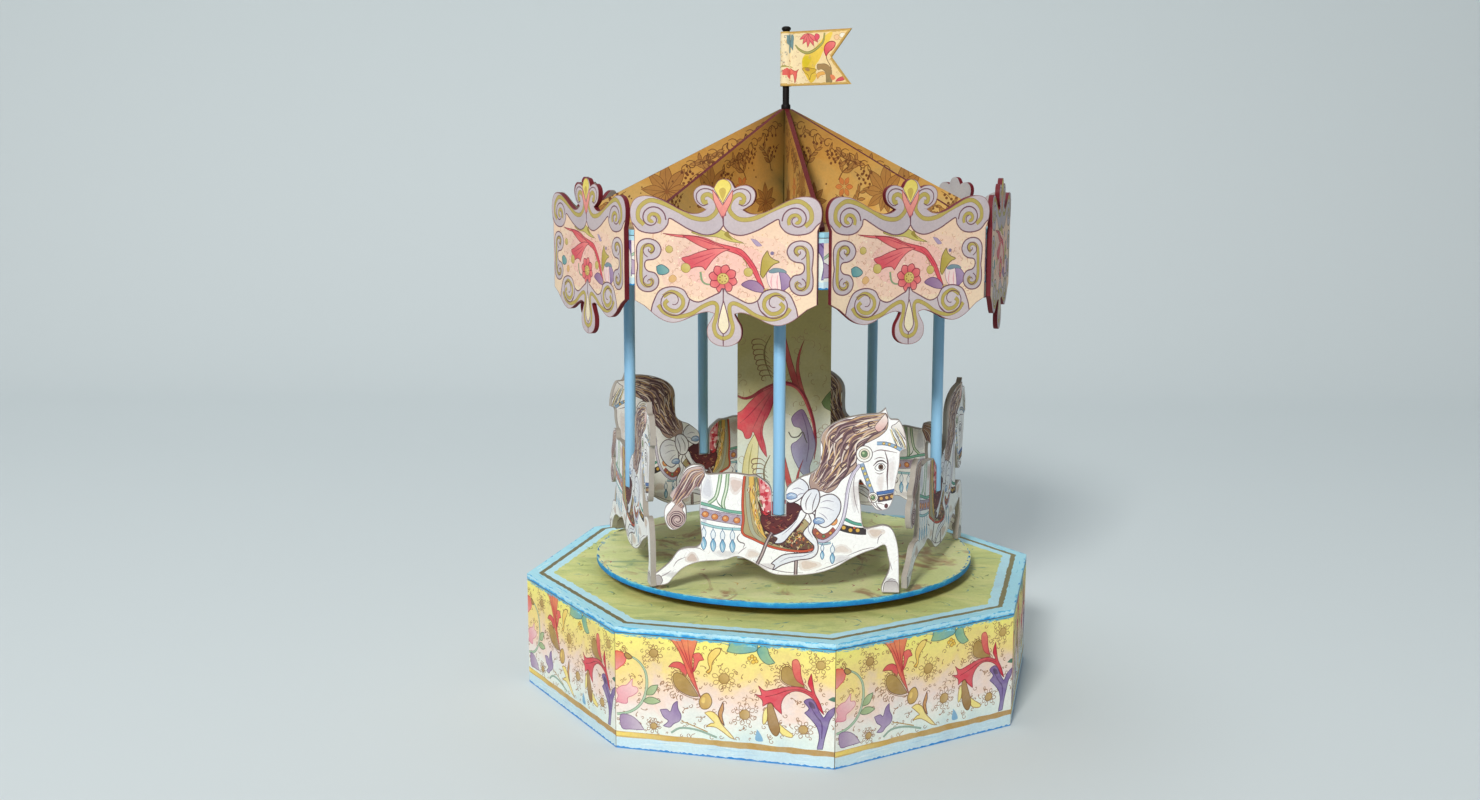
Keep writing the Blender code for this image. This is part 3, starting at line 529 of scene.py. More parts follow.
for k in range(40):
    x = rnd.uniform(-W, W - 3)
    art.line([(x, 48.5 + rnd.uniform(-.5, .4)), (x + rnd.uniform(1, 4), 48.5 + rnd.uniform(-.5, .3))], [0.1, 0.35], rnd.choice((rgb(60, 170, 214), rgb(40, 140, 180), rgb(150, 222, 236))))
outline = [(-WIDE, 0), (WIDE, 0), (WIDE, SIDE_H), (-WIDE, SIDE_H)]
inner = (BASE_AP - 2.5) * math.tan(math.radians(22.5)) - 0.15
side_mesh = sheet_mesh("side_print_mesh", outline, 2.5, art, rgb(240, 240, 230), rgb(178, 150, 112), back=rgb(170, 140, 104), squeeze=inner / WIDE)
SIDE = printed("side_print", SIDE_STOPS, "Y", 0.0, 49.4, wobble=0.15, fade=0.12)
for k in range(8):
    show(f"side_print_{k + 1}", side_mesh, SIDE, "base", [f"base_side_{k + 1}"], upright(BASE_TURN + 22.5 + 45 * k, BASE_AP - 1.25))


# ---------------------------------------------------------------- base top and turntable
def octagon(apothem, turn):
    r = apothem / math.cos(math.radians(22.5))
    return [(r * math.sin(math.radians(turn + 45 * k)), -r * math.cos(math.radians(turn + 45 * k))) for k in range(8)]


def ragged_ring(apothem, turn, depth, rnd, step=2.0):
    corners = octagon(apothem, turn)
    out = []
    for (x1, y1), (x2, y2) in zip(corners, corners[1:] + corners[:1]):
        count = int(math.hypot(x2 - x1, y2 - y1) / step)
        for k in range(count):
            t = k / count
            scale = 1 + (rnd.uniform(-depth, depth) / apothem if k else 0)
            out.append(((x1 + (x2 - x1) * t) * scale, (y1 + (y2 - y1) * t) * scale))
    return out


def olive_ground(n):
    streak = n.noise(22.0, 5.0, 0.65, 1.2, stretch=(1.0, 2.2, 1.0))
    base = n.ramp(streak, [(0.28, rgb(188, 198, 122)), (0.45, rgb(208, 216, 138)), (0.55, rgb(222, 226, 148)), (0.72, rgb(234, 232, 158))])
    spots = n.span(n.noise(70.0, 3.0, 0.6, 0.8, stretch=(1.0, 2.6, 1.0)), 0.58, 0.7, 0.0, 0.6)
    return n.mix(spots, base, rgb(146, 176, 130))


def blue_rim(low, high, stops=None):
    def rim(n):
        t = n.span(n.axis("Z"), low * MM, high * MM)
        t = n.math("ADD", t, n.span(n.noise(160.0, 4.0, 0.7, 0.5, stretch=(1.0, 1.0, 2.0)), 0.3, 0.7, -0.42, 0.42))
        return n.ramp(t, stops or [(0.04, rgb(44, 154, 224)), (0.24, rgb(110, 198, 236)), (0.42, rgb(174, 228, 246)), (0.86, rgb(196, 238, 252)), (1.0, rgb(104, 200, 238))])
    return rim


rnd = random.Random(3)
art = Art()
art.fill(ragged_ring(BASE_AP + 1, BASE_TURN, 0.1, rnd), rgb(178, 234, 250))
for k in range(70):
    a = math.radians(BASE_TURN + 22.5 + 45 * rnd.randrange(8))
    s0 = rnd.uniform(-44, 38)
    d = BASE_AP - rnd.uniform(0.1, 4.8)
    pts = [(s0 + t, d + rnd.uniform(-0.3, 0.3)) for t in (0, 2, 4, 6.5)]
    art.line([(p * math.cos(a) + q * math.sin(a), p * math.sin(a) - q * math.cos(a)) for p, q in pts], [0.1, 0.7, 0.1], rnd.choice((rgb(120, 208, 244), rgb(220, 248, 254), rgb(146, 218, 236))))
for k in range(90):
    a = math.radians(BASE_TURN + 22.5 + 45 * rnd.randrange(8))
    s0 = rnd.uniform(-45, 42)
    d = BASE_AP - rnd.uniform(0.0, 0.5)
    pts = [(s0 + t, d + rnd.uniform(-0.2, 0.2)) for t in (0, 1, 2, 3.5)]
    art.line([(p * math.cos(a) + q * math.sin(a), p * math.sin(a) - q * math.cos(a)) for p, q in pts], [0.1, 0.7, 0.1], rnd.choice((rgb(34, 150, 220), rgb(90, 190, 232))))
art.fill(ragged_ring(BASE_AP - 5.0, BASE_TURN, 0.25, rnd), rgb(126, 118, 82), rgb(142, 134, 92), (1, 0))
art.fill(ragged_ring(BASE_AP - 7.2, BASE_TURN, 0.25, rnd), rgb(196, 240, 252))
art.fill(ragged_ring(BASE_AP - 11.4, BASE_TURN, 0.5, rnd, 1.6), None)
for k in range(150):
    a, r = rnd.uniform(0, 6.283), rnd.uniform(89, 99)
    x, y = r * math.cos(a), r * math.sin(a)
    b = rnd.uniform(0, 3.14)
    art.line([(x, y), (x + 2 * math.cos(b), y + 2 * math.sin(b)), (x + 4.4 * math.cos(b + 0.3), y + 4.4 * math.sin(b + 0.3))], [0.1, rnd.uniform(0.4, 1.1), 0.1], rnd.choice((rgb(214, 220, 150), rgb(140, 160, 96), rgb(128, 170, 148), rgb(196, 190, 120))))
mesh = sheet_mesh("base_top_mesh", octagon(BASE_AP, BASE_TURN), 2.3, art, rgb(170, 186, 120), rgb(190, 235, 255), back=rgb(170, 140, 104), holes=[disc(0, 0, 4.5, 32)[::-1]], side_mark=0.5)
show("base_top_print", mesh, printed("base_top_print", ground=olive_ground, rim=blue_rim(-1.15, 1.15)), "base", ["base_top"], Matrix.Translation((0, 0, 50.85 * MM)))


def meadow(n):
    base = n.ramp(n.noise(20.0, 5.0, 0.6, 1.5), [(0.3, rgb(214, 224, 146)), (0.46, rgb(228, 236, 170)), (0.6, rgb(238, 240, 182)), (0.74, rgb(224, 230, 146))])
    dark = n.span(n.noise(46.0, 5.0, 0.65, 1.1, stretch=(1.0, 2.0, 1.0)), 0.58, 0.68)
    base = n.mix(n.math("MULTIPLY", dark, 0.75), base, rgb(132, 172, 140))
    red = n.span(n.noise(34.0, 4.0, 0.6, 0.9, stretch=(1.3, 1.0, 1.0)), 0.57, 0.66)
    return n.mix(n.math("MULTIPLY", red, 0.7), base, rgb(168, 104, 82))


rnd = random.Random(8)
art = Art()
for k in range(170):
    a, r = rnd.uniform(0, 6.283), 86 * math.sqrt(rnd.uniform(0.12, 1))
    x, y, b = r * math.cos(a), r * math.sin(a), rnd.uniform(0, 3.14)
    size = rnd.uniform(0.8, 3.4)
    art.line([(x, y), (x + size * math.cos(b), y + size * math.sin(b)), (x + 1.9 * size * math.cos(b + 0.5), y + 1.9 * size * math.sin(b + 0.5))], [0.1, rnd.uniform(0.4, 1.3), 0.1],
             rnd.choice((rgb(132, 170, 110), rgb(112, 158, 140), rgb(232, 236, 186), rgb(240, 240, 200), rgb(186, 120, 96), rgb(226, 204, 120))))
for k in range(230):
    a = rnd.uniform(0, 6.283)
    span, r = rnd.uniform(0.01, 0.05), 87.6 - abs(rnd.gauss(0, 0.7))
    pts = [((r + rnd.uniform(-0.25, 0.25)) * math.cos(a + span * t), (r + rnd.uniform(-0.25, 0.25)) * math.sin(a + span * t)) for t in (0, 0.33, 0.66, 1)]
    art.line(pts, [0.15, rnd.uniform(0.4, 1.0), 0.15], rnd.choice((rgb(24, 130, 196), rgb(60, 168, 214), rgb(116, 196, 222), rgb(30, 110, 160))))
mesh = sheet_mesh("turntable_mesh", disc(0, 0, 87.7, 180), 2.3, art, rgb(208, 224, 158), rgb(51, 154, 197), back=rgb(170, 140, 104), holes=[disc(0, 0, 3.4, 32)[::-1]], side_mark=0.5)
for p in mesh.polygons:
    p.use_smooth = False
show("turntable_print", mesh, printed("turntable_print", ground=meadow, rim=blue_rim(-1.15, 1.15, [(0.0, rgb(24, 122, 196)), (0.55, rgb(40, 150, 218)), (0.85, rgb(56, 168, 222)), (1.0, rgb(120, 206, 232))])), "carousel", ["turntable"], Matrix.Translation((0, 0, 58.25 * MM)))

# ---------------------------------------------------------------- column post
# The post's ground runs from pale mint low to olive high: the print's gradient, with painted shade darkening the upper
# part under the canopy.
COLUMN_PRINT_AND_SHADE_STOPS = [(0.0, rgb(228, 246, 250)), (0.29, rgb(226, 244, 244)), (0.46, rgb(226, 228, 210)), (0.62, rgb(204, 194, 144)), (0.8, rgb(180, 168, 108)), (1.0, rgb(168, 156, 98))]


def col(points, parts=4, closed=True):
    """Grid of the post's print: 487-935 across its face, 0 at a height of 162 mm."""
    return smooth([((p[0] - 711) / 448 * 42, 162.1 - p[1] * 0.0974, *p[2:]) for p in points], parts, closed)


art = Art()
rnd = random.Random(21)
tint, dark = rgb(166, 132, 96), rgb(132, 96, 66)
for k in range(150):
    x, y, r, a = rnd.uniform(495, 925), rnd.uniform(-270, 1040), rnd.uniform(10, 26), rnd.uniform(0, 6.28)
    way = rnd.choice((-1, 1))
    pts = [(x + r * (1 - 0.09 * t) * math.cos(a + way * t * 0.6), y + r * (1 - 0.09 * t) * math.sin(a + way * t * 0.6)) for t in range(rnd.choice((5, 8, 10)))]
    art.line(col(pts, 2, False), 0.2, tint)
for low in (0, 560):
    # the pattern repeats up the post
    def c(points, dy=low, **more):
        return col([(p[0], p[1] + dy, *p[2:]) for p in points], **more)

    art.fill(c([(700 + 116 * math.cos(a), 540 + 190 * math.sin(a)) for a in np.linspace(0, 6.28, 16, endpoint=False)]), rgb(224, 236, 224), rgb(232, 230, 214), (0, 1))
    art.line(c([(646, -10), (618, 50), (620, 110), (650, 190)], closed=False), [0.3, 0.9, 0.3], rgb(116, 102, 60))
    for k in range(8):
        a = 0.2 + k * 0.17
        x, y = 648 - 60 * math.cos(a), 20 + 24 * k
        art.line(c([(x + 34, y + 6), (x + 10, y - 12), (x - 26, y - 10), (x - 34, y + 8), (x - 20, y + 14)], closed=False), [0.2, 0.55, 0.3], dark)
    art.shape(c([(512, 680), (514, 600), (530, 530), (552, 480), (578, 440, 1), (588, 500), (584, 580), (572, 660), (548, 700)]), rgb(224, 214, 146), rgb(150, 130, 72), 0.3, rgb(236, 230, 180), (1, 0))
    art.line(c([(560, 500), (545, 580), (540, 670)], closed=False), [0.2, 0.6, 0.2], rgb(176, 164, 92))
    art.shape(c([(708, -30), (728, 40), (748, 110), (772, 180), (806, 260), (822, 300, 1), (790, 262), (752, 210), (728, 140), (712, 60)]), rgb(178, 62, 66), rgb(120, 36, 44), 0.25, rgb(206, 96, 88), (0, 1))
    art.shape(c([(806, 10, 1), (788, 70), (782, 140), (796, 210), (822, 290, 1), (784, 226), (768, 150), (778, 76)]), rgb(190, 74, 74), rgb(130, 40, 48), 0.22)
    art.line(c([(487, 272), (520, 284), (560, 274), (610, 242), (680, 214), (744, 216), (796, 254), (832, 324), (856, 404), (866, 490), (858, 570)], closed=False), [0.9, 1.5, 1.6, 1.9, 1.4, 0.5], rgb(146, 40, 58))
    art.line(c([(610, 246), (680, 220), (744, 222), (790, 256), (826, 326), (850, 404), (860, 490)], closed=False), [0.4, 0.9, 0.9, 0.7, 0.2], rgb(206, 84, 92))
    art.shape(c([(480, 356, 1), (512, 338), (545, 302), (590, 262), (640, 236), (668, 226, 1), (664, 280), (650, 332), (632, 372), (614, 404), (608, 452), (622, 506), (630, 562, 1), (602, 524), (580, 474), (562, 440), (550, 468), (526, 472), (512, 440), (480, 424, 1)]), rgb(226, 84, 92), rgb(158, 46, 62), 0.3, rgb(196, 62, 84), (1, 0))
    for path in ([(500, 400), (545, 360), (600, 300), (650, 244)], [(560, 430), (584, 380), (620, 310), (656, 250)], [(606, 500), (600, 430), (622, 350)]):
        art.line(c(path, closed=False), [0.15, 0.5, 0.2], rgb(168, 44, 66))
    art.shape(c([(748, 376), (772, 346), (798, 334), (814, 352), (834, 396), (854, 450), (864, 504), (852, 560), (836, 612), (848, 664, 1), (806, 642), (774, 596), (752, 546), (748, 502), (776, 482), (800, 452), (790, 422), (760, 412)]), rgb(144, 112, 148), rgb(96, 70, 110), 0.3, rgb(168, 172, 204), (0, -1))
    art.line(c([(798, 352), (820, 420), (832, 500), (820, 580)], closed=False), [0.2, 0.6, 0.2], rgb(110, 82, 128))
    art.line(c([(734, 440), (750, 464), (780, 462), (802, 440), (814, 470), (824, 492)], closed=False), [0.5, 0.6, 0.4], rgb(62, 44, 46))
    art.shape(c([(892, 300, 1), (914, 268), (945, 236, 1), (945, 344, 1), (908, 326)]), rgb(112, 132, 82), rgb(72, 84, 50), 0.25)
for y in (59.7, 189.9):
    art.fill([(-22, y - 0.5), (22, y - 0.5), (22, y + 0.5), (-22, y + 0.5)], rgb(186, 160, 116))
w = 21.0
face_mesh = sheet_mesh("column_face", [(-w, 59.7), (w, 59.7), (w, 189.9), (-w, 189.9)], 17.6, art, rgb(210, 206, 160), rgb(176, 148, 110), back=rgb(176, 148, 110), squeeze=3.4 / 21)
# painted shade: the dark olive upper stops stand in for the canopy's shade on the top of the post
COLUMN = printed("column_print", COLUMN_PRINT_AND_SHADE_STOPS, "Z", 59.7, 189.9, wobble=0.06, fade=0.12)

whole = bmesh.new()
for k in range(4):
    turned_face = face_mesh.copy()
    turned_face.transform(upright(90 * k, 12.2))
    whole.from_mesh(turned_face)
    bpy.data.meshes.remove(turned_face)
mesh = bpy.data.meshes.new("column_mesh")
whole.to_mesh(mesh)
whole.free()
show("column_print", mesh, COLUMN, "carousel", ["column"])

# ---------------------------------------------------------------- drum
drum_art = side_print(lambda x, y: (side_grid(x, y)[0], side_grid(x, y)[1] + 190.2 - 4.0), curls=False)
rnd = random.Random(17)
drum_art.fill(torn(-42, 42, 193.2, 0.25, rnd, 1.5)[::-1] + [(-42, 189), (42, 189)], rgb(206, 234, 244))
drum_art.fill(torn(-42, 42, 190.7, 0.3, rnd, 0.9)[::-1] + [(-42, 189), (42, 189)], rgb(40, 140, 205))
drum_art.fill(torn(-42, 42, 208.3, 0.25, rnd, 1.5) + [(42, 212), (-42, 212)], rgb(190, 228, 240))
w = DRUM_AP * math.tan(math.radians(22.5))
drum_face = sheet_mesh("drum_face", [(-w, 190.2), (w, 190.2), (w, 210.1), (-w, 210.1)], 2.5, drum_art, rgb(236, 240, 226), rgb(178, 150, 112), back=rgb(170, 140, 104), squeeze=(DRUM_AP - 2.5) / DRUM_AP)
whole = bmesh.new()
for k in range(8):
    turned_face = drum_face.copy()
    turned_face.transform(upright(CANOPY_TURN + 22.5 + 45 * k, DRUM_AP - 1.25))
    whole.from_mesh(turned_face)
    bpy.data.meshes.remove(turned_face)
mesh = bpy.data.meshes.new("drum_mesh")
whole.to_mesh(mesh)
whole.free()
show("drum_print", mesh, printed("drum_print", SIDE_STOPS, "Z", 186.0, 235.0), "carousel", ["canopy_drum"])
DECK_ART = Art()
DECK_ART.fill(ragged_ring(DRUM_AP + 1, CANOPY_TURN, 0.1, rnd), rgb(176, 222, 236))
DECK_ART.fill(ragged_ring(DRUM_AP - 2.5, CANOPY_TURN, 0.3, rnd, 1.5), None)
deck_mesh = sheet_mesh("deck_mesh", octagon(DRUM_AP, CANOPY_TURN), 2.0, DECK_ART, rgb(186, 158, 116), rgb(160, 214, 232), holes=[disc(0, 0, 3.4, 32)[::-1]])
show("deck_board", deck_mesh, printed("deck_paint"), "carousel", ["canopy_deck"], Matrix.Translation((0, 0, 211.4 * MM)))


# ---------------------------------------------------------------- rounding boards
HALF = [(0.0, 232.9), (2.6, 232.0), (4.3, 229.3, 1), (6.3, 230.2), (9.4, 230.4), (12.0, 228.8), (12.7, 226.3), (11.6, 223.4),
        (9.0, 221.6), (7.6, 220.9, 1), (10.2, 219.6), (13.8, 219.4), (18.0, 220.7), (22.5, 223.0), (27.0, 225.1), (31.0, 226.1),
        (34.8, 226.0), (37.5, 224.6), (39.0, 221.9), (39.3, 219.0), (38.8, 216.0), (37.6, 213.0, 1),
        (37.6, 184.4, 1), (33.6, 182.3, 1), (31.0, 180.2), (28.0, 177.9), (24.6, 176.3), (21.3, 175.8), (17.7, 176.6), (14.2, 178.2),
        (10.3, 179.8), (6.9, 180.5), (4.2, 179.9, 1), (5.4, 177.6), (6.8, 175.2), (7.2, 172.8), (6.8, 170.4), (5.2, 168.4), (2.7, 167.2), (0.0, 166.9)]
loop = smooth(HALF + [(-p[0], *p[1:]) for p in HALF[-2:0:-1]], 4)


def brd(points, parts=4, closed=True):
    return smooth([((p[0] - 1000) / 13.02, 232.7 - (p[1] - 105) / 13.72, *p[2:]) for p in points], parts, closed)


LIL, LIL2, GLD, GLD2, LINE = rgb(212, 199, 202), rgb(196, 183, 188), rgb(188, 170, 88), rgb(222, 200, 100), rgb(112, 68, 84)
art = Art()
rnd = random.Random(31)
art.fill(brd([(700, 430), (1000, 400), (1290, 430), (1330, 560), (1290, 700), (1000, 745), (700, 700), (660, 560)]), rgb(245, 209, 186))
art.fill(brd([(800, 470), (960, 440), (1150, 470), (1230, 560), (1150, 640), (1000, 690), (830, 650), (750, 560)]), rgb(246, 198, 184))
for k in range(240):
    x, y = rnd.uniform(600, 1400), rnd.uniform(390, 760)
    r, a = rnd.uniform(7, 17), rnd.uniform(0, 6.28)
    pts = [(x + r * (1 - 0.1 * t) * math.cos(a + t * 0.62), y + r * (1 - 0.1 * t) * math.sin(a + t * 0.62)) for t in range(rnd.choice((4, 6, 8)))]
    art.line(brd(pts, 2, False), 0.2, rnd.choice((rgb(214, 158, 130), rgb(226, 174, 144), rgb(196, 142, 112))))
for k in range(260):
    x, y = rnd.uniform(600, 1400), rnd.uniform(390, 760)
    r = rnd.uniform(2.5, 6)
    art.fill(brd([(x + r * math.cos(a), y + r * math.sin(a)) for a in (0, 1.3, 2.6, 3.9, 5.1)], 1), rnd.choice((rgb(244, 196, 180), rgb(252, 236, 206), rgb(234, 196, 150), rgb(240, 206, 170))))
# flower spray in the field
art.line(brd([(872, 604), (880, 650), (900, 668), (930, 672)], 3, False), [0.9, 0.6], rgb(132, 160, 120))
art.shape(brd([(700, 640), (722, 622), (742, 640), (728, 662), (706, 662)]), rgb(226, 180, 120), rgb(190, 140, 90), 0.18)
art.shape(brd([(824, 390), (880, 372), (956, 368), (1010, 388), (1050, 420), (1108, 446, 1), (1030, 436), (960, 414), (890, 410)]), rgb(190, 176, 84), rgb(122, 108, 50), 0.22, rgb(214, 200, 116), (1, 0))
art.shape(brd([(1000, 402), (1020, 380), (1030, 408), (1046, 430)]), rgb(160, 140, 62))
art.shape(brd([(1140, 420, 1), (1170, 428), (1200, 456, 1), (1172, 458)]), rgb(176, 158, 188), rgb(140, 116, 150), 0.16)
art.shape(brd([(668, 398, 1), (740, 404), (824, 408), (900, 420), (962, 446), (1040, 464), (1092, 480), (1132, 520), (1166, 570), (1196, 640), (1222, 706, 1), (1196, 690), (1168, 630), (1136, 574), (1096, 520), (1040, 494), (990, 480), (930, 470), (870, 446), (820, 424), (740, 414)]), rgb(222, 76, 92), rgb(150, 40, 60), 0.3, rgb(240, 120, 116), (-1, 0))
art.shape(brd([(776, 410, 1), (830, 410), (890, 424), (948, 448), (1000, 470, 1), (960, 488), (900, 476), (840, 448)]), rgb(218, 70, 88), rgb(150, 38, 58), 0.3, rgb(242, 138, 128), (1, 0))
art.shape(brd([(1030, 478, 1), (980, 500), (940, 536), (918, 566), (898, 594, 1), (880, 576), (842, 578), (812, 590), (800, 566), (770, 532), (812, 518), (850, 502), (900, 486), (960, 474)]), rgb(222, 74, 92), rgb(146, 38, 58), 0.3, rgb(242, 136, 132), (1, 1))
for path in ([(812, 538), (870, 522), (940, 500)], [(836, 566), (890, 540), (950, 506)], [(850, 424), (920, 446), (990, 470)], [(1060, 482), (1120, 530), (1170, 600)]):
    art.line(brd(path, 3, False), [0.14, 0.42, 0.14], rgb(196, 56, 80))
for px, py, pr in ((792, 584, 26), (702, 484, 20), (1128, 600, 24), (1000, 706, 10), (978, 716, 8)):
    art.shape(brd([(px + pr * math.cos(a), py + pr * math.sin(a)) for a in np.linspace(0, 6.28, 8, endpoint=False)], 2), rgb(196, 174, 88), rgb(150, 124, 58), 0.2, rgb(216, 196, 124), (1, 1))
art.line(brd([(1122, 574), (1116, 548), (1100, 528)], 2, False), 0.3, rgb(150, 124, 58))
art.shape(brd([(1192, 612, 1), (1196, 560), (1204, 520), (1228, 482, 1), (1242, 512), (1262, 528), (1292, 542), (1262, 556), (1236, 584), (1206, 632, 1)]), rgb(180, 158, 66), rgb(104, 84, 36), 0.3, rgb(208, 188, 98), (1, 0))
art.shape(disc(*brd([(1254, 496), (1255, 496)], 1, False)[0], 0.8, 8), rgb(124, 112, 150))
for k in range(8):
    a = 2 * math.pi * k / 8 + 0.25
    px, py = math.cos(a), math.sin(a)
    art.shape(brd([(993 + 22 * px - 12 * py, 638 + 22 * py + 12 * px), (993 + 56 * px - 24 * py, 638 + 56 * py + 24 * px), (993 + 78 * px, 638 + 78 * py), (993 + 56 * px + 24 * py, 638 + 56 * py - 24 * px), (993 + 22 * px + 12 * py, 638 + 22 * py - 12 * px)], 3), rgb(218, 82, 96), rgb(140, 38, 62), 0.36, rgb(238, 128, 126), (px, -py))
art.shape(brd([(993 + 31 * math.cos(a), 638 + 30 * math.sin(a)) for a in np.linspace(0, 6.28, 10, endpoint=False)], 2), rgb(206, 178, 84), rgb(150, 110, 50), 0.24, rgb(226, 204, 130), (1, 1))
for k in range(7):
    a = 6.283 * k / 7
    art.fill(disc(*brd([(993 + 18 * math.cos(a), 638 + 18 * math.sin(a)), (0, 0)], 1, False)[0], 0.32, 6), rgb(140, 104, 46))
art.shape(brd([(632, 580, 1), (660, 568), (694, 588), (700, 606), (676, 622), (640, 618)]), rgb(86, 146, 152), rgb(54, 96, 106), 0.3, rgb(128, 176, 170), (1, 0))
art.shape(brd([(1092, 668), (1130, 644), (1170, 648), (1204, 676), (1218, 708, 1), (1170, 704), (1130, 690)]), rgb(140, 104, 146), rgb(92, 58, 104), 0.3, rgb(176, 144, 174), (1, 0))
art.shape(brd([(1226, 602), (1262, 582), (1306, 590), (1336, 612), (1358, 648), (1334, 680), (1304, 700), (1262, 694), (1234, 660)]), rgb(250, 222, 216), rgb(150, 108, 140), 0.22)
art.shape(brd([(1290, 590, 1), (1330, 604), (1358, 648), (1334, 680), (1304, 700, 1), (1300, 650)]), rgb(140, 108, 156), rgb(96, 64, 116), 0.28, rgb(172, 146, 182), (1, 1))
art.shape(brd([(1236, 596), (1262, 576), (1310, 580), (1330, 598), (1290, 596), (1258, 602)]), rgb(126, 152, 160), rgb(92, 110, 126), 0.18)
for path in ([(1256, 690), (1248, 650), (1256, 610)], [(1284, 696), (1280, 650), (1284, 610)]):
    art.line(brd(path, 3, False), [0.14, 0.5, 0.14], rgb(236, 160, 170))
art.line(brd([(1206, 716), (1216, 690), (1240, 690)], 3, False), 0.4, rgb(196, 170, 90))


def stripe(path, w=1.5):
    art.line(path, w + 0.3, rgb(158, 132, 84))
    art.line(path, w - 0.14, GLD)


def spiral(x, y, r, start, way, turns, shrink=0.82):
    pts = []
    steps = int(14 * turns)
    for k in range(steps + 1):
        t = k / steps
        rr = r * (1 - shrink * t)
        pts.append((x + rr * math.cos(start + way * t * turns * 6.283), y + rr * math.sin(start + way * t * turns * 6.283)))
    return pts


for side in (1, -1):
    def m(points, mx=side):
        return points if mx > 0 else [(1990 - p[0], *p[1:]) for p in points]

    def sp(x, y, r, start, way, turns, mx=side, **more):
        return m(spiral(x, y, r, start, way, turns, **more), mx)

    # head: one broad lilac band along the top edge, with a volute at its outer end and a curl beside the bud
    low = [(995, 350), (975, 378), (940, 398), (888, 402), (810, 374), (748, 338), (704, 316)]
    art.shape(brd(m([(995, 60, 1)] + [(p[0], p[1], 1) if k in (0,) else p for k, p in enumerate(low)] + [(694, 350), (660, 386), (606, 398), (540, 384), (498, 340), (440, 300, 1), (440, 60, 1)])), LIL, LINE, 0.5, LIL2, (0, -1))
    stripe(brd(m([(566, 352), (534, 318), (540, 262), (590, 222), (650, 228), (743, 268), (832, 312), (912, 316), (962, 270), (954, 218), (915, 186), (886, 200), (892, 228), (912, 226)]), 5, False), 1.55)
    art.line(brd(sp(610, 318, 76, 0.1, -1, 1.2), 4, False), [0.55, 0.5, 0.4], LINE)
    stripe(brd(sp(612, 322, 42, 0.6, -1, 0.9), 4, False), [1.2, 0.8][0])
    art.line(brd(m([(984, 300), (978, 240), (960, 190), (925, 160), (880, 158), (852, 184), (856, 222), (886, 246), (914, 236)]), 4, False), [0.5, 0.4], LINE)
    art.line(brd(m([(640, 196), (720, 214), (800, 250), (870, 268), (910, 262)]), 4, False), [0.12, 0.34, 0.12], rgb(172, 152, 160))
    # sides: an upright with a volute at each end
    art.shape(brd(m([(592, 428), (548, 438), (524, 474), (524, 540), (528, 580), (522, 630), (526, 684), (556, 714), (602, 716), (636, 690), (644, 650), (624, 616), (588, 606), (570, 588), (568, 562), (580, 546), (616, 540), (646, 520), (658, 482), (636, 444)])), LIL, LINE, 0.5, LIL2, (0, -1))
    stripe(brd(m([(596, 506), (612, 492), (606, 470), (582, 462), (558, 478), (550, 510), (548, 560), (546, 610)]), 4, False), 1.2)
    art.line(brd(sp(598, 486, 44, 1.9, 1, 1.25), 4, False), [0.4, 0.35], LINE)
    stripe(brd(m([(548, 570), (546, 620), (552, 664), (576, 686), (602, 680), (610, 660), (596, 648)]), 4, False), 1.2)
    art.line(brd(sp(592, 664, 38, -1.9, -1, 1.2), 4, False), [0.4, 0.35], LINE)
    # foot: a broad band along the lower edge, with a volute, that runs down into the drop
    art.shape(brd(m([(560, 1060, 1), (600, 830), (616, 770), (650, 710), (716, 688), (780, 704), (812, 752), (862, 768), (920, 742), (972, 716), (995, 714), (995, 1060, 1)])), LIL, LINE, 0.5, LIL2, (0, -1))
    stripe(brd(m([(668, 742), (716, 716), (768, 742), (776, 786), (744, 820), (700, 814), (676, 784), (694, 762)]), 5, False), 1.4)
    stripe(brd(m([(640, 790), (672, 830), (740, 852), (820, 834), (884, 792), (938, 770), (962, 790), (956, 850), (944, 900), (958, 946), (996, 966)]), 5, False), 1.4)
    art.line(brd(sp(718, 768, 92, 0.0, 1, 1.25), 4, False), [0.5, 0.35], LINE)
    art.line(brd(m([(812, 756), (800, 800), (760, 836)]), 3, False), [0.45, 0.2], LINE)

art.shape(brd([(996, 758, 1), (1008, 800), (1022, 860), (1024, 904), (996, 938), (968, 904), (970, 860), (984, 800)]), rgb(250, 234, 206), LINE, 0.42, rgb(240, 226, 190), (0, -1))
art.shape(brd([(945, 150), (958, 118), (990, 104), (1024, 118), (1036, 150), (1018, 186), (992, 232, 1), (964, 186)]), rgb(236, 214, 96), rgb(170, 136, 66), 0.3, rgb(246, 228, 130), (0, -1))
art.shape(brd([(972, 168), (992, 150), (1010, 168), (992, 222, 1)]), rgb(206, 178, 84))
art.shape(brd([(938, 160, 1), (962, 196), (992, 244, 1), (1022, 196), (1046, 160, 1), (1040, 214), (1018, 262), (992, 318, 1), (964, 262), (944, 214)]), rgb(232, 130, 126), rgb(168, 76, 88), 0.3, rgb(246, 168, 152), (0, 1))
art.line(brd([(992, 300), (994, 350)], 3, False), [0.5, 0.3], LINE)
rim = np.concatenate([loop, loop[:2]])
art.line(rim, 0.5, rgb(150, 104, 104))
board_mesh = sheet_mesh("rounding_board_mesh", loop, 2.0, art, rgb(250, 230, 190), rgb(112, 26, 36), back=rgb(196, 196, 200))
BOARD = printed("scroll_print", [(0.0, rgb(241, 216, 180)), (0.4, rgb(247, 219, 190)), (0.75, rgb(245, 212, 184)), (1.0, rgb(240, 208, 168))], "Y", 166.9, 232.9, wobble=0.12, fade=0.06)
for k in range(8):
    show(f"scroll_board_{k + 1}", board_mesh, BOARD, "carousel", [f"rounding_board_{k + 1}"], upright(CANOPY_TURN - 22.5 + 45 * k, DRUM_AP + 1.3))

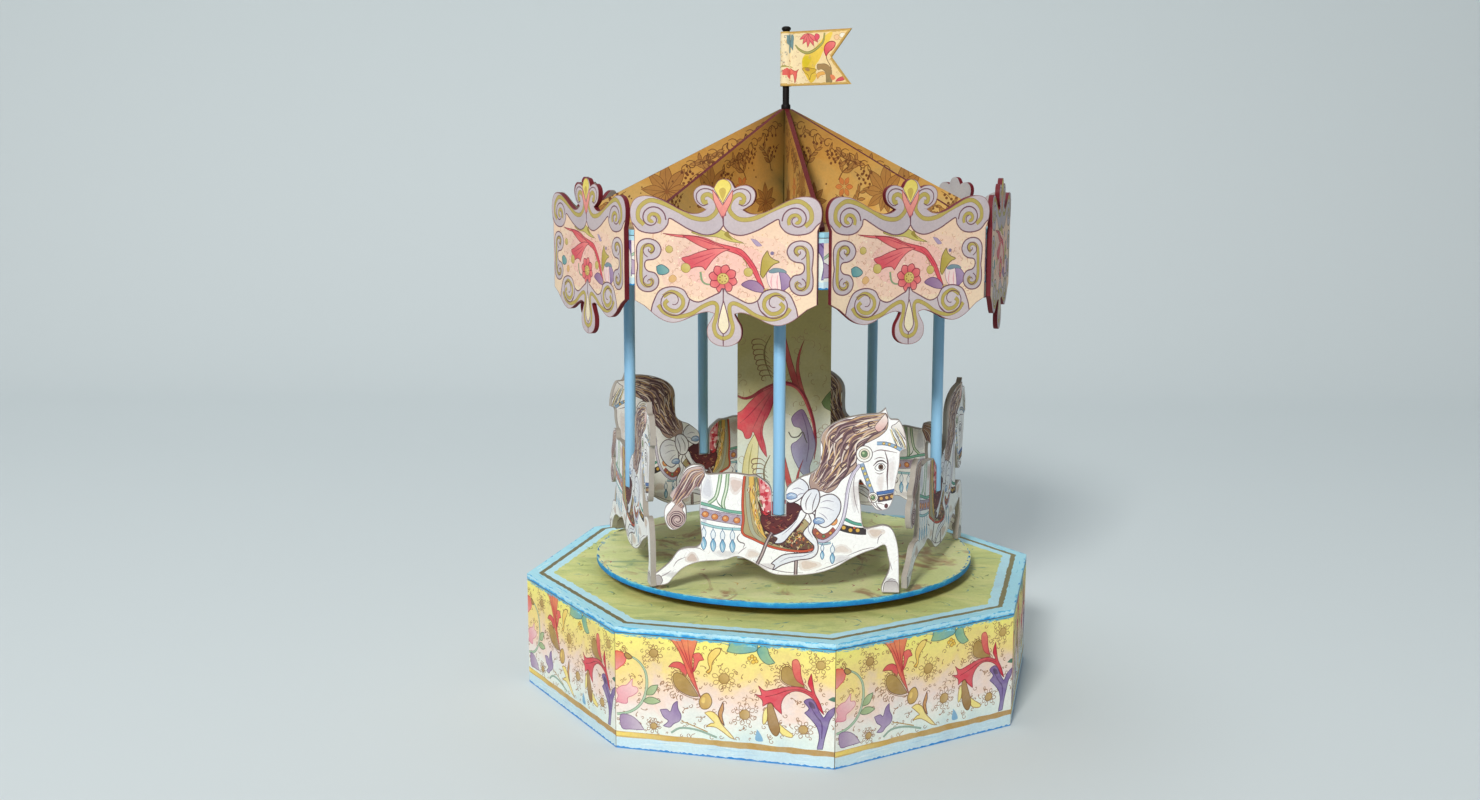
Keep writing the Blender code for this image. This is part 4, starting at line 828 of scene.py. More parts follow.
# ---------------------------------------------------------------- horses
DRAWING = [
    (-98, 107), (-94, 118), (-90, 123), (-83, 126), (-74, 124), (-71, 117), (-61, 117), (-45, 118), (-30, 116), (-23, 116),
    (-16, 112), (-9, 106), (-6.7, 98, 1), (-6.7, 76, 1), (6.7, 76, 1), (6.7, 100, 1), (10, 106), (22, 115), (30, 118), (38, 124),
    (40, 134), (40, 150), (43, 160), (52, 168), (66, 174), (80, 177), (90, 178), (97, 179), (103, 184, 1), (107, 174), (112, 173),
    (116, 172), (120, 165), (123, 155), (124, 144, 1), (118, 141), (117, 128), (114, 112), (112, 96), (108, 86), (103, 83), (96, 83),
    (91, 88), (87, 94), (88, 102), (83, 108), (79, 113), (78, 104), (80, 88), (83, 66), (93, 66), (102, 68),
    (110, 65), (115, 55), (118, 38), (119, 0, 1), (102, 0, 1), (102, 7), (109, 24), (107, 38), (104, 48), (95, 44), (84, 40),
    (70, 33), (57, 25), (41, 19), (22, 16), (-1, 16), (-12, 20), (-23, 27), (-40, 34), (-54, 30), (-77, 28), (-93, 22),
    (-103, 13), (-110, 5), (-121, 3, 1), (-122, 15, 1), (-108, 27), (-100, 38), (-92, 42), (-81, 43), (-76, 50), (-77, 64), (-78, 80),
    (-77, 94), (-79, 103), (-84, 100), (-88, 94), (-95, 90), (-92, 84), (-91, 76), (-92, 68), (-98, 62), (-106, 60), (-111, 66), (-113, 76), (-111, 84),
    (-105, 90), (-107, 96),
]
UNIT, SOLE = 0.4275, 60.6
outline = smooth([(p[0] * UNIT, SOLE + p[1] * UNIT, *p[2:]) for p in DRAWING], 4)


def hrs(points, parts=4, closed=True):
    return smooth([((p[0] / 6 - 128) * UNIT, SOLE + (188 - p[1] / 6) * UNIT, *p[2:]) for p in points], parts, closed)


def h7(points, parts=4, closed=True):
    """Grid of the horse's print, 1.22 finer lines to one of the outline drawing's sixths."""
    return smooth([(((560 + (p[0] - 515) * 1.244) / 6 - 128) * UNIT, SOLE + (188 - (425 + (p[1] - 665) * 1.222) / 6) * UNIT, *p[2:]) for p in points], parts, closed)


PX = 1.233 / 6 * UNIT  # one grid line in millimetres
INK, SOFT = rgb(84, 62, 70), rgb(168, 154, 156)


def pen(points, w, colour=INK, parts=4):
    """A drawn line that swells in the middle."""
    art.line(h7(points, parts, False), [w * PX * 0.35, w * PX, w * PX, w * PX * 0.35], colour)


def strap(points, w, colour, edge=INK, edge_w=2.6):
    path = h7(points, 4, False)
    art.line(path, (w + 2 * edge_w) * PX, edge)
    art.line(path, w * PX, colour)


def spot(x, y, rx, ry, colour, edge=None, edge_w=2.2, n=10):
    poly = h7([(x + rx * math.cos(a), y + ry * math.sin(a)) for a in np.linspace(0, 6.2832, n, endpoint=False)], 2)
    art.shape(poly, colour, edge, edge_w * PX)


def cut(points, colour, edge=INK, edge_w=3.0, second=None, way=(0, -1)):
    art.shape(h7(points), colour, edge, edge_w * PX, second, way if second is not None else None)


def locks(a, b, count, palette, w, wave=0.05, ink=1.0):
    """Wavy locks between two guide lines, each with a dark line along one side."""
    for k in range(count):
        t = (k + 0.5) / count
        pts = []
        for i, (p, q) in enumerate(zip(a, b)):
            s = t + wave * math.sin(2.2 * i + 2.7 * k)
            pts.append((p[0] * (1 - s) + q[0] * s, p[1] * (1 - s) + q[1] * s))
        tone = palette[k % len(palette)]
        art.line(h7(pts, 5, False), [w * PX * 0.4, w * PX, w * PX, w * PX * 0.3], tone)
        art.line(h7([(x + w * 0.42, y + w * 0.2) for x, y in pts], 5, False), [0.1, 3.4 * ink * PX, 4.2 * ink * PX, 0.1], rnd.choice((INK, rgb(112, 84, 90), rgb(96, 70, 66))))


art = Art()
rnd = random.Random(41)
WHITE = rgb(254, 253, 251)
art.fill(hrs([(100, -50), (1600, -50), (1600, 1200), (100, 1200)], 1), WHITE)
# brown and blue-grey washes
for x, y, rx, ry, tone in ((480, 720, 30, 34, (226, 206, 198)), (270, 1085, 26, 22, (216, 196, 186)), (1140, 945, 34, 20, (222, 204, 190)), (825, 1110, 44, 22, (226, 208, 196)),
                           (345, 740, 22, 50, (222, 222, 228)), (330, 860, 14, 60, (216, 216, 224)), (1040, 760, 18, 60, (226, 220, 218)), (1000, 1080, 60, 16, (226, 222, 224)),
                           (430, 1060, 50, 14, (226, 222, 222)), (620, 1120, 60, 14, (228, 222, 222)), (1215, 1190, 22, 20, (206, 200, 202)), (1160, 700, 14, 40, (236, 228, 224)),
                           (1210, 640, 16, 60, (238, 232, 230)), (180, 1170, 40, 14, (222, 218, 218)), (560, 1060, 30, 18, (232, 218, 208)), (980, 1030, 40, 18, (232, 220, 212))):
    for grow, mixed in ((1.25, 0.5), (0.85, 1.0)):
        shade = tuple(int(250 - (250 - c) * mixed) for c in tone)
        poly = [(x + grow * rx * (1 + 0.18 * math.sin(3 * a + x)) * math.cos(a), y + grow * ry * (1 + 0.18 * math.sin(3 * a + x)) * math.sin(a)) for a in np.linspace(0, 6.28, 12, endpoint=False)]
        art.fill(h7(poly, 2), rgb(*shade))
for k in range(170):
    # light pencil strokes over the coat
    x, y, a, r = rnd.uniform(140, 1250), rnd.uniform(680, 1230), rnd.uniform(0, 6.28), rnd.uniform(8, 26)
    pen([(x, y), (x + r * math.cos(a), y + r * math.sin(a)), (x + 1.8 * r * math.cos(a + 0.4), y + 1.8 * r * math.sin(a + 0.4))], rnd.uniform(1.4, 2.4), rnd.choice((rgb(222, 214, 214), rgb(230, 220, 212), rgb(214, 206, 210))), 2)
for path in ([(318, 690), (312, 760), (306, 850), (312, 930)], [(205, 1050), (250, 1035), (300, 1035), (330, 1050)], [(180, 1130), (200, 1100), (240, 1080)], [(490, 1060), (510, 1040), (530, 1026)],
             [(1150, 1000), (1155, 970), (1170, 950)], [(1193, 1010), (1196, 1050), (1210, 1090), (1222, 1130)], [(1204, 1180), (1220, 1172), (1240, 1180)], [(560, 1090), (640, 1130), (720, 1148), (800, 1150)],
             [(860, 1140), (940, 1110), (1010, 1075)], [(1100, 930), (1130, 915), (1160, 905)], [(1010, 1060), (1080, 1030), (1140, 1015)], [(100, 1190), (140, 1170), (170, 1150)], [(1046, 640), (1034, 700), (1040, 780), (1060, 850)]):
    pen(path, 4, rgb(150, 136, 142))
# hooves
cut([(1186, 1196), (1206, 1184), (1246, 1190), (1256, 1240, 1), (1180, 1240, 1)], rgb(186, 178, 178), rgb(104, 90, 94), 3, rgb(222, 216, 214))
cut([(76, 1190), (110, 1172), (128, 1200), (110, 1226), (78, 1226, 1)], rgb(186, 178, 178), rgb(104, 90, 94), 3)
# rump straps
for path in ([(407, 664), (400, 716), (384, 780), (350, 812)], [(441, 664), (434, 740), (418, 806), (424, 846)]):
    strap(path, 13, rgb(158, 190, 150), rgb(82, 116, 84))
    pen(path, 6, rgb(236, 242, 226))
pen([(384, 780), (396, 812), (420, 838), (400, 846)], 5, rgb(82, 116, 84))
# crupper band with studs and tassels
strap([(300, 808), (360, 824), (430, 846), (516, 858)], 11, rgb(126, 182, 160), rgb(70, 104, 96))
strap([(300, 858), (370, 872), (440, 884), (516, 896)], 46, rgb(184, 168, 184), rgb(88, 66, 84))
for k in range(40):
    x = rnd.uniform(306, 512)
    y = 858 + (x - 300) * 0.176 + rnd.uniform(-18, 18)
    pen([(x, y), (x + rnd.uniform(4, 10), y + rnd.uniform(-6, 6)), (x + rnd.uniform(8, 16), y + rnd.uniform(-4, 4))], 3, rnd.choice((rgb(150, 128, 150), rgb(206, 194, 204), rgb(130, 104, 128))), 2)
for x, y in ((334, 866), (379, 878), (430, 886), (484, 894)):
    spot(x, y, 16, 15, rgb(214, 136, 84), rgb(120, 70, 50))
    spot(x - 3, y - 3, 7, 6, rgb(240, 186, 124))
strap([(304, 906), (370, 926), (440, 936), (516, 938)], 9, rgb(170, 212, 214), rgb(84, 120, 140))


def tassel(x, y, size=1.0):
    pen([(x, y - 18 * size), (x, y), (x + 1, y + 10 * size)], 4, rgb(70, 110, 150))
    cut([(x, y - 6 * size, 1), (x + 12 * size, y + 18 * size), (x + 8 * size, y + 44 * size), (x, y + 54 * size), (x - 8 * size, y + 44 * size), (x - 12 * size, y + 18 * size)], rgb(238, 244, 248), rgb(86, 124, 160), 3)
    cut([(x, y + 44 * size, 1), (x + 14 * size, y + 74 * size), (x + 9 * size, y + 104 * size), (x, y + 116 * size, 1), (x - 9 * size, y + 104 * size), (x - 14 * size, y + 74 * size)], rgb(116, 172, 206), rgb(58, 96, 140), 3, rgb(176, 214, 232))
    pen([(x - 4 * size, y + 66 * size), (x - 3 * size, y + 84 * size), (x, y + 100 * size)], 4, rgb(236, 244, 250))


for x, y in ((326, 936), (371, 944), (416, 948), (463, 948)):
    tassel(x, y, 0.92)
# saddle cloth: orange edge, gold and olive stripes, a dark worked panel under the saddle
cloth = [(520, 672), (514, 740), (510, 820), (514, 890), (508, 958, 1), (560, 986), (640, 1022), (720, 1040), (800, 1044), (852, 1030), (872, 980), (850, 930), (780, 860), (700, 800), (650, 740), (600, 690), (560, 672)]
cut(cloth, rgb(196, 176, 132), rgb(104, 70, 56), 3, rgb(172, 160, 118))
for path, w, tone in (([(536, 676), (534, 760), (540, 860), (560, 950), (600, 990)], 17, rgb(176, 176, 150)), ([(552, 678), (556, 760), (570, 850), (594, 930), (640, 985)], 22, rgb(226, 184, 96)),
                      ([(572, 680), (582, 760), (600, 830), (630, 900), (670, 960)], 13, rgb(140, 144, 104)), ([(586, 684), (600, 750), (620, 810), (650, 870)], 9, rgb(206, 160, 92))):
    strap(path, w, tone, rgb(128, 92, 64), 2.0)
for k in range(70):
    t = rnd.random()
    x, y = 536 + 70 * t + rnd.uniform(-8, 40), 690 + 270 * t + rnd.uniform(-30, 30)
    pen([(x, y), (x + rnd.uniform(-6, 6), y + rnd.uniform(8, 18)), (x + rnd.uniform(-8, 8), y + rnd.uniform(16, 34))], rnd.uniform(3, 5), rnd.choice((rgb(150, 110, 70), rgb(236, 206, 130), rgb(110, 116, 82), rgb(180, 96, 70), rgb(228, 222, 196))), 2)
worked = [(604, 872), (640, 900), (700, 930), (770, 946), (830, 962), (862, 990), (850, 1024), (790, 1034), (720, 1026), (650, 1000), (612, 950)]
cut(worked, rgb(92, 64, 60), rgb(50, 30, 34), 3, rgb(120, 84, 70), (1, 0))
field = h7(worked)
for k in range(240):
    x, y = rnd.uniform(600, 864), rnd.uniform(870, 1036)
    here = h7([(x, y), (x + 1, y)], 1, False)[:1]
    if not winding(field, here)[0]:
        continue
    a, r = rnd.uniform(0, 6.28), rnd.uniform(5, 13)
    pen([(x, y), (x + r * math.cos(a), y + r * math.sin(a)), (x + 1.6 * r * math.cos(a + 0.9), y + 1.6 * r * math.sin(a + 0.9))], rnd.uniform(3, 6), rnd.choice((rgb(216, 176, 92), rgb(60, 40, 42), rgb(188, 92, 62), rgb(128, 138, 92), rgb(232, 214, 170))), 2)
strap([(520, 676), (514, 740), (511, 820), (515, 890), (511, 956), (560, 984), (640, 1020), (720, 1038), (800, 1042), (850, 1030)], 9, rgb(206, 92, 66), rgb(110, 46, 42), 2.2)
pen([(500, 960), (486, 980), (496, 1000), (520, 1010), (514, 1030)], 5, INK)
# saddle
cut([(590, 672), (610, 680), (650, 716, 1), (650, 872, 1), (630, 866), (606, 820), (592, 750)], rgb(232, 150, 152), rgb(140, 50, 60), 3, rgb(218, 104, 112))
for k in range(30):
    x, y = rnd.uniform(598, 646), rnd.uniform(690, 860)
    spot(x, y, rnd.uniform(4, 11), rnd.uniform(5, 14), rnd.choice((rgb(214, 60, 74), rgb(240, 190, 186), rgb(196, 60, 74), rgb(244, 214, 206))), n=7)
cut([(586, 800), (610, 850), (650, 878, 1), (650, 902), (716, 902), (716, 878, 1), (740, 850), (772, 824), (796, 836), (780, 880), (740, 920), (700, 940), (650, 934), (612, 900)], rgb(116, 46, 50), rgb(56, 20, 28), 3, rgb(150, 70, 60), (1, 0))
for k in range(46):
    x, y = rnd.uniform(606, 780), rnd.uniform(862, 932)
    pen([(x, y), (x + rnd.uniform(4, 16), y + rnd.uniform(-8, 8)), (x + rnd.uniform(12, 28), y + rnd.uniform(-10, 10))], 4, rnd.choice((rgb(70, 26, 32), rgb(176, 96, 80), rgb(92, 34, 40), rgb(202, 150, 110))), 2)
cut([(604, 846), (622, 872), (650, 888, 1), (650, 874, 1), (636, 858)], rgb(206, 60, 66), rgb(120, 34, 42), 2)
# dark of the saddle round the foot of the pole
cut([(700, 812), (738, 800), (776, 812), (800, 842), (796, 884), (776, 926), (742, 952), (700, 962), (650, 956), (616, 936), (598, 900), (600, 866), (626, 868), (652, 850), (700, 846)], rgb(82, 44, 50), rgb(44, 22, 30), 3, rgb(112, 52, 52), (0, -1))
for k in range(60):
    x, y = rnd.uniform(604, 786), rnd.uniform(850, 952)
    pen([(x, y), (x + rnd.uniform(4, 14), y + rnd.uniform(-8, 8)), (x + rnd.uniform(10, 24), y + rnd.uniform(-10, 10))], 4, rnd.choice((rgb(46, 22, 28), rgb(150, 62, 56), rgb(60, 30, 38), rgb(174, 120, 90))), 2)
# girth straps
for path in ([(650, 952), (626, 1000), (604, 1060), (576, 1118)], [(764, 1046), (766, 1090), (764, 1160)]):
    strap(path, 13, rgb(128, 108, 112), rgb(56, 40, 48))
    pen(path, 5, rgb(206, 190, 184))
pen([(640, 970), (660, 990), (652, 1010), (630, 1000)], 5)
# tail
tail = [(322, 636), (290, 632), (250, 646), (226, 680), (210, 720), (176, 760), (160, 800), (196, 806), (176, 840), (150, 880), (158, 920), (190, 944), (226, 936), (246, 900), (236, 866), (226, 840), (262, 800), (296, 760), (306, 710), (330, 680)]
cut(tail, rgb(206, 184, 178), INK, 3.0)
locks([(318, 640), (262, 652), (222, 706), (186, 770), (170, 806)], [(330, 672), (310, 716), (292, 762), (254, 808), (218, 838)], 13, [rgb(156, 124, 128), rgb(208, 172, 138), rgb(128, 98, 104), rgb(226, 208, 196), rgb(182, 148, 136)], 9, 0.05, 1.3)
for turn, tone, w in ((0.0, rgb(150, 118, 122), 9), (0.5, INK, 5), (3.4, INK, 4)):
    pen([(200 + (46 - 2.7 * t) * math.cos(3.6 + turn + 0.8 * t), 896 + (46 - 2.7 * t) * math.sin(3.6 + turn + 0.8 * t)) for t in range(15)], w, tone)
# chest band
strap([(996, 880), (1040, 900), (1090, 908)], 11, rgb(96, 166, 146), rgb(48, 92, 84))
strap([(964, 916), (1010, 930), (1060, 938), (1096, 938)], 30, rgb(66, 60, 62), rgb(34, 28, 32))
for x, y in ((990, 922), (1022, 934), (1056, 934)):
    spot(x, y, 10, 10, rgb(222, 176, 82), rgb(110, 80, 40))
spot(1040, 922, 6, 6, rgb(206, 104, 70))
strap([(846, 936), (884, 968), (920, 960), (950, 930)], 26, rgb(170, 96, 84), rgb(80, 40, 46))
for x, y, tone in ((866, 952, (226, 150, 90)), (896, 966, (120, 150, 110)), (928, 950, (226, 170, 90))):
    spot(x, y, 8, 8, rgb(*tone), rgb(90, 50, 50))
spot(940, 890, 20, 22, rgb(232, 160, 100), rgb(130, 76, 60))
spot(940, 890, 10, 11, rgb(246, 206, 150))
strap([(850, 990), (890, 1004), (930, 998)], 7, rgb(176, 206, 214), rgb(84, 100, 130))
tassel(890, 1010, 0.62)
tassel(938, 1012, 0.78)
# rein
strap([(1062, 612), (1030, 660), (1008, 730), (998, 820), (980, 900), (944, 958), (900, 990), (866, 986)], 13, rgb(206, 198, 216), rgb(98, 84, 108))
pen([(1056, 626), (1022, 690), (1004, 780), (988, 870), (950, 950)], 4, rgb(244, 240, 246))
# mane
mane = [(826, 690), (846, 630), (880, 580), (888, 530), (876, 480), (900, 432), (950, 408), (1010, 396), (1060, 376), (1120, 370), (1178, 362), (1190, 400), (1184, 440), (1150, 474), (1104, 500), (1062, 524), (1040, 570), (1046, 620), (1010, 660), (976, 690), (950, 730), (912, 752), (880, 742), (846, 752), (830, 724)]
cut(mane, rgb(178, 150, 140), INK, 3.2, rgb(206, 178, 150), (1, 1))
tones = [rgb(114, 88, 94), rgb(208, 170, 124), rgb(228, 212, 200), rgb(134, 102, 102), rgb(190, 156, 138), rgb(98, 72, 80), rgb(232, 206, 170), rgb(166, 138, 138), rgb(236, 220, 210)]
locks([(1176, 368), (1080, 382), (960, 412), (900, 470), (896, 540), (868, 610), (836, 690)], [(1180, 440), (1110, 480), (1056, 526), (1036, 590), (1000, 650), (950, 700), (896, 744)], 28, tones, 10, 0.085, 1.45)
for x, y, r, way in ((940, 480, 30, 1), (1000, 530, 26, -1), (930, 600, 26, 1), (1040, 440, 24, 1), (985, 620, 20, -1), (890, 690, 18, 1), (1110, 420, 20, -1)):
    for shrink, w, tone in ((1.0, 7, rnd.choice(tones)), (0.94, 4.5, INK)):
        pen([(x + r * shrink * (1 - 0.09 * t) * math.cos(way * (0.4 + t * 0.7)), y + r * shrink * (1 - 0.09 * t) * math.sin(way * (0.4 + t * 0.7))) for t in range(9)], w, tone)
# head
cut([(1128, 430), (1150, 396), (1176, 364, 1), (1190, 396), (1176, 430), (1148, 452)], rgb(250, 240, 232), INK, 3, rgb(226, 176, 168))
cut([(1206, 430), (1226, 412), (1244, 400), (1262, 440), (1270, 480), (1240, 476)], rgb(246, 244, 240), INK, 3, rgb(220, 206, 196))
locks([(1196, 440), (1206, 470), (1226, 510), (1244, 540)], [(1230, 430), (1254, 460), (1276, 500), (1284, 540)], 7, [rgb(206, 214, 206), rgb(232, 214, 160), rgb(246, 246, 240), rgb(170, 184, 190)], 8)
strap([(1140, 508), (1180, 508), (1220, 520), (1256, 540)], 13, rgb(150, 180, 206), rgb(64, 84, 130))
for x, y in ((1172, 508), (1198, 512), (1226, 524)):
    spot(x, y, 7, 6, rgb(232, 200, 120), rgb(120, 90, 50))
pen([(1176, 540), (1192, 600), (1190, 670), (1194, 736)], 7, rgb(104, 78, 84))
pen([(1120, 552), (1150, 540), (1180, 542), (1236, 552)], 5, rgb(130, 104, 108))
strap([(1070, 606), (1088, 660), (1106, 710), (1122, 752)], 17, rgb(150, 172, 198), rgb(70, 84, 118))
for x, y in ((1076, 630), (1087, 656), (1098, 684), (1110, 712)):
    spot(x, y, 7, 8, rgb(236, 214, 130), rgb(120, 96, 60))
strap([(1142, 752), (1190, 744), (1234, 734)], 13, rgb(84, 118, 176), rgb(36, 48, 92))
strap([(1146, 780), (1186, 772), (1228, 762)], 26, rgb(104, 84, 88), rgb(44, 34, 46))
for x, y in ((1164, 776), (1190, 771), (1214, 765)):
    spot(x, y, 9, 9, rgb(212, 168, 104), rgb(70, 44, 40))
for x, y, r, core in ((1082, 560, 38, 15), (1125, 772, 24, 10)):
    spot(x, y, r, r * 1.04, rgb(252, 250, 244), INK, 3.4, 14)
    spot(x, y, r * 0.66, r * 0.68, rgb(240, 232, 214), rgb(130, 108, 96), 2.4, 12)
    spot(x, y, core, core * 1.1, rgb(110, 140, 104), rgb(50, 64, 52), 2.6)
    spot(x - core * 0.3, y - core * 0.3, core * 0.4, core * 0.4, rgb(186, 206, 160))
cut([(1132, 626), (1150, 606), (1172, 608), (1180, 626), (1162, 640), (1144, 640)], rgb(252, 252, 250), INK, 3)
spot(1160, 622, 11, 13, rgb(112, 84, 70), INK, 2.4)
spot(1160, 622, 4.5, 5.5, rgb(20, 14, 16))
pen([(1124, 618), (1144, 596), (1168, 592), (1188, 606)], 7)
pen([(1134, 648), (1154, 656), (1174, 648)], 4, rgb(130, 108, 108))
pen([(1128, 586), (1152, 576), (1178, 580)], 4, rgb(130, 108, 108))
spot(1188, 812, 8, 11, rgb(110, 70, 72), INK, 2)
pen([(1138, 792), (1150, 818), (1176, 834), (1204, 826)], 5)
pen([(1142, 800), (1160, 800), (1178, 806)], 3.5, rgb(150, 124, 124))
pen([(1090, 700), (1104, 760), (1130, 806), (1160, 832)], 4, rgb(130, 108, 108))
# bow
BOW, SHADE = rgb(254, 253, 252), rgb(230, 232, 240)
cut([(786, 838), (766, 884), (728, 924), (688, 952), (648, 968, 1), (676, 980), (664, 1004), (704, 1000), (740, 958), (790, 896), (812, 856)], BOW, INK, 5.0, SHADE)
cut([(824, 856), (836, 896), (804, 938), (800, 960), (826, 990), (850, 1016), (838, 1044), (780, 1052), (710, 1060), (672, 1084), (648, 1106, 1), (664, 1116), (656, 1138), (700, 1112), (770, 1088), (838, 1076), (868, 1044), (866, 990), (842, 948), (852, 906), (850, 860)], BOW, INK, 5.0, SHADE)
cut([(712, 778), (716, 716), (750, 684), (796, 690), (824, 730), (800, 766), (768, 794), (732, 804)], BOW, INK, 5.0, SHADE, (1, 0))
cut([(868, 790), (898, 764), (940, 760), (972, 792), (972, 842), (944, 892), (904, 922), (872, 910), (854, 872)], BOW, INK, 5.0, SHADE, (1, 0))
for x, y, turn in ((742, 772, 0.5), (872, 892, -0.4)):
    cut([(x - 26, y - 4), (x - 6, y - 18), (x + 20, y - 12), (x + 26, y + 4), (x + 2, y + 14), (x - 20, y + 12)], rgb(118, 150, 196), rgb(60, 74, 120), 3, rgb(190, 210, 232), (1, 1))
    pen([(x - 18, y), (x, y - 8), (x + 18, y)], 4, rgb(232, 240, 248))
for path in ([(800, 740), (770, 730), (744, 738)], [(806, 754), (780, 760), (762, 776)], [(880, 800), (910, 790), (944, 796)], [(876, 826), (910, 826), (944, 840)], [(872, 850), (896, 864), (914, 884)],
             [(700, 962), (736, 930), (768, 892)], [(826, 900), (824, 940), (846, 976)], [(850, 1044), (800, 1066), (730, 1076), (686, 1100)]):
    pen(path, 3.6, rgb(150, 140, 162))
cut([(786, 806), (800, 764), (830, 736), (866, 738), (876, 780), (860, 830), (832, 856), (800, 846)], BOW, INK, 5.0, SHADE, (1, 1))
for path in ([(812, 838), (812, 796), (836, 752)], [(840, 844), (846, 800), (862, 756)]):
    pen(path, 4.5, rgb(104, 86, 100))
# edge of the print
rim = np.concatenate([outline, outline[:2]])
art.line(rim, 0.7, rgb(206, 198, 196))
art.line(rim, 0.3, rgb(140, 126, 126))
horse_mesh = sheet_mesh("horse_mesh", outline, 2.4, art, WHITE, rgb(178, 170, 160))
HORSE = printed("horse_print", wash=0.03)
for k in range(5):
    show(f"painted_horse_{k + 1}", horse_mesh, HORSE, "carousel", [f"horse_{k + 1}"], upright(POLE_TURN + 72 * k, POLE_RING))
print("faces", len(side_mesh.polygons), len(board_mesh.polygons), len(horse_mesh.polygons), len(drum_face.polygons), len(face_mesh.polygons))

# ---------------------------------------------------------------- roof fins
FOOT, APEX, FIN_R, FIN_SLOT, FIN_BAND = 212.7, 264.7, 99.5, 2.75, 10.0
# The roof fins' faces get painted shade near the axis, where the fins cross.
ROOF = printed("roof_print", [(0.0, rgb(224, 190, 118)), (0.35, rgb(216, 172, 94)), (0.7, rgb(206, 154, 74)), (1.0, rgb(186, 138, 72))], "Y", FOOT, APEX, wash=0.24, rough=0.6, wobble=0.3, fade=0.12,
               painted_axis_shade=(30.0, (0.26, 0.32, 0.30)))
BURGUNDY = rgb(98, 8, 12)
BROWN, BROWN2 = rgb(112, 70, 38), rgb(176, 126, 66)
for k in range(4):
    low, high = FOOT + FIN_BAND * k, FOOT + FIN_BAND * (k + 1)
    shoulder = APEX - (APEX - FOOT - 1.5) * FIN_SLOT / FIN_R
    loop = [(-FIN_R, FOOT)]
    if k:
        loop += [(-FIN_SLOT, FOOT), (-FIN_SLOT, low + 0.15), (FIN_SLOT, low + 0.15), (FIN_SLOT, FOOT)]
    loop += [(FIN_R, FOOT), (FIN_R, FOOT + 1.5), (FIN_SLOT, shoulder), (FIN_SLOT, high - 0.15), (-FIN_SLOT, high - 0.15), (-FIN_SLOT, shoulder), (-FIN_R, FOOT + 1.5)]
    art = Art()
    rnd = random.Random(50 + k)
    for sx in (1, -1):
        def f(points, parts=4, closed=True, mx=sx):
            return smooth([(p[0] * mx, p[1], *p[2:]) for p in points], parts, closed)

        def leaf(x, y, a, size, fat=0.3, vein=True):
            dx, dy = math.cos(a), math.sin(a)
            tip = (x + size * dx, y + size * dy, 1)
            left = (x + size * (0.5 * dx - fat * dy), y + size * (0.5 * dy + fat * dx))
            right = (x + size * (0.5 * dx + fat * dy), y + size * (0.5 * dy - fat * dx))
            art.shape(f([(x, y, 1), left, tip, right]), BROWN2, BROWN, 0.26)
            if vein:
                art.line(f([(x, y), (x + 0.9 * size * dx, y + 0.9 * size * dy)], 2, False), [0.3, 0.12], BROWN)

        def berries(x, y, a, length, bend=0.5):
            ex, ey = x + length * math.cos(a), y + length * math.sin(a)
            mx, my = (x + ex) / 2 - bend * length * 0.4 * math.sin(a), (y + ey) / 2 + bend * length * 0.4 * math.cos(a)
            art.line(f([(x, y), (mx, my), (ex, ey)], 4, False), [0.45, 0.32], BROWN)
            art.fill(disc(ex * sx, ey, 0.72, 8), rgb(112, 66, 38))

        def branch(x, y, a, length, size, pairs, curl=0.0):
            """A stem with lance leaves in pairs, ending in a bare tip."""
            stem = []
            for j in range(pairs + 2):
                t = j / (pairs + 1)
                stem.append((x + length * t * math.cos(a + curl * t), y + length * t * math.sin(a + curl * t)))
            art.line(f(stem, 4, False), [0.55, 0.4, 0.3], BROWN)
            for j in range(1, pairs + 1):
                here = a + curl * j / (pairs + 1)
                for way in (0.75, -0.75):
                    leaf(*stem[j], here + way, size * (1.05 - 0.09 * j), 0.17, False)

        # large open rosettes low on the board
        for cx, cy, size in ((54, 226.5, 13.6), (86, 215.5, 8.0), (16, 222.0, 9.0)):
            for a, s in ((1.5, 1.0), (0.8, 0.9), (0.1, 0.86), (2.25, 0.96), (3.0, 0.84), (-0.6, 0.8), (3.75, 0.76), (-1.3, 0.66), (4.5, 0.6)):
                leaf(cx, cy, a, size * s, 0.2)
            art.fill(disc(cx * sx, cy, 1.1, 8), rgb(140, 86, 44))
        # leafy branches above them
        for cx, cy, turn, length, size, pairs, curl in ((30, 232.0, 1.2, 15, 6.4, 3, -0.7), (42, 240.0, 3.3, 15, 5.6, 3, -0.5), (66, 232.0, 2.2, 9, 4.6, 2, 0.4), (72, 216.0, 0.2, 12, 4.6, 3, 0.6), (12, 236.0, 1.4, 14, 5.0, 3, -0.5),
                                                       (36, 219.0, 0.6, 12, 5.0, 3, 0.5)):
            branch(cx, cy, turn, length, size, pairs, curl)
        # clusters of berries
        for cx, cy in ((40, 234.0), (24, 243.0), (62, 238.0), (74, 225.0), (8, 246.0), (30, 224.0)):
            for j in range(9):
                art.fill(disc((cx + 2.3 * (j % 3) + 0.9 * (j // 3)) * sx, cy - 1.9 * (j // 3) + 0.5 * (j % 2), 0.68, 8), rgb(118, 70, 38))
            art.line(f([(cx - 1.6, cy + 1.6), (cx + 1.6, cy - 0.4), (cx + 4.6, cy - 3.8)], 3, False), [0.3, 0.2], BROWN)
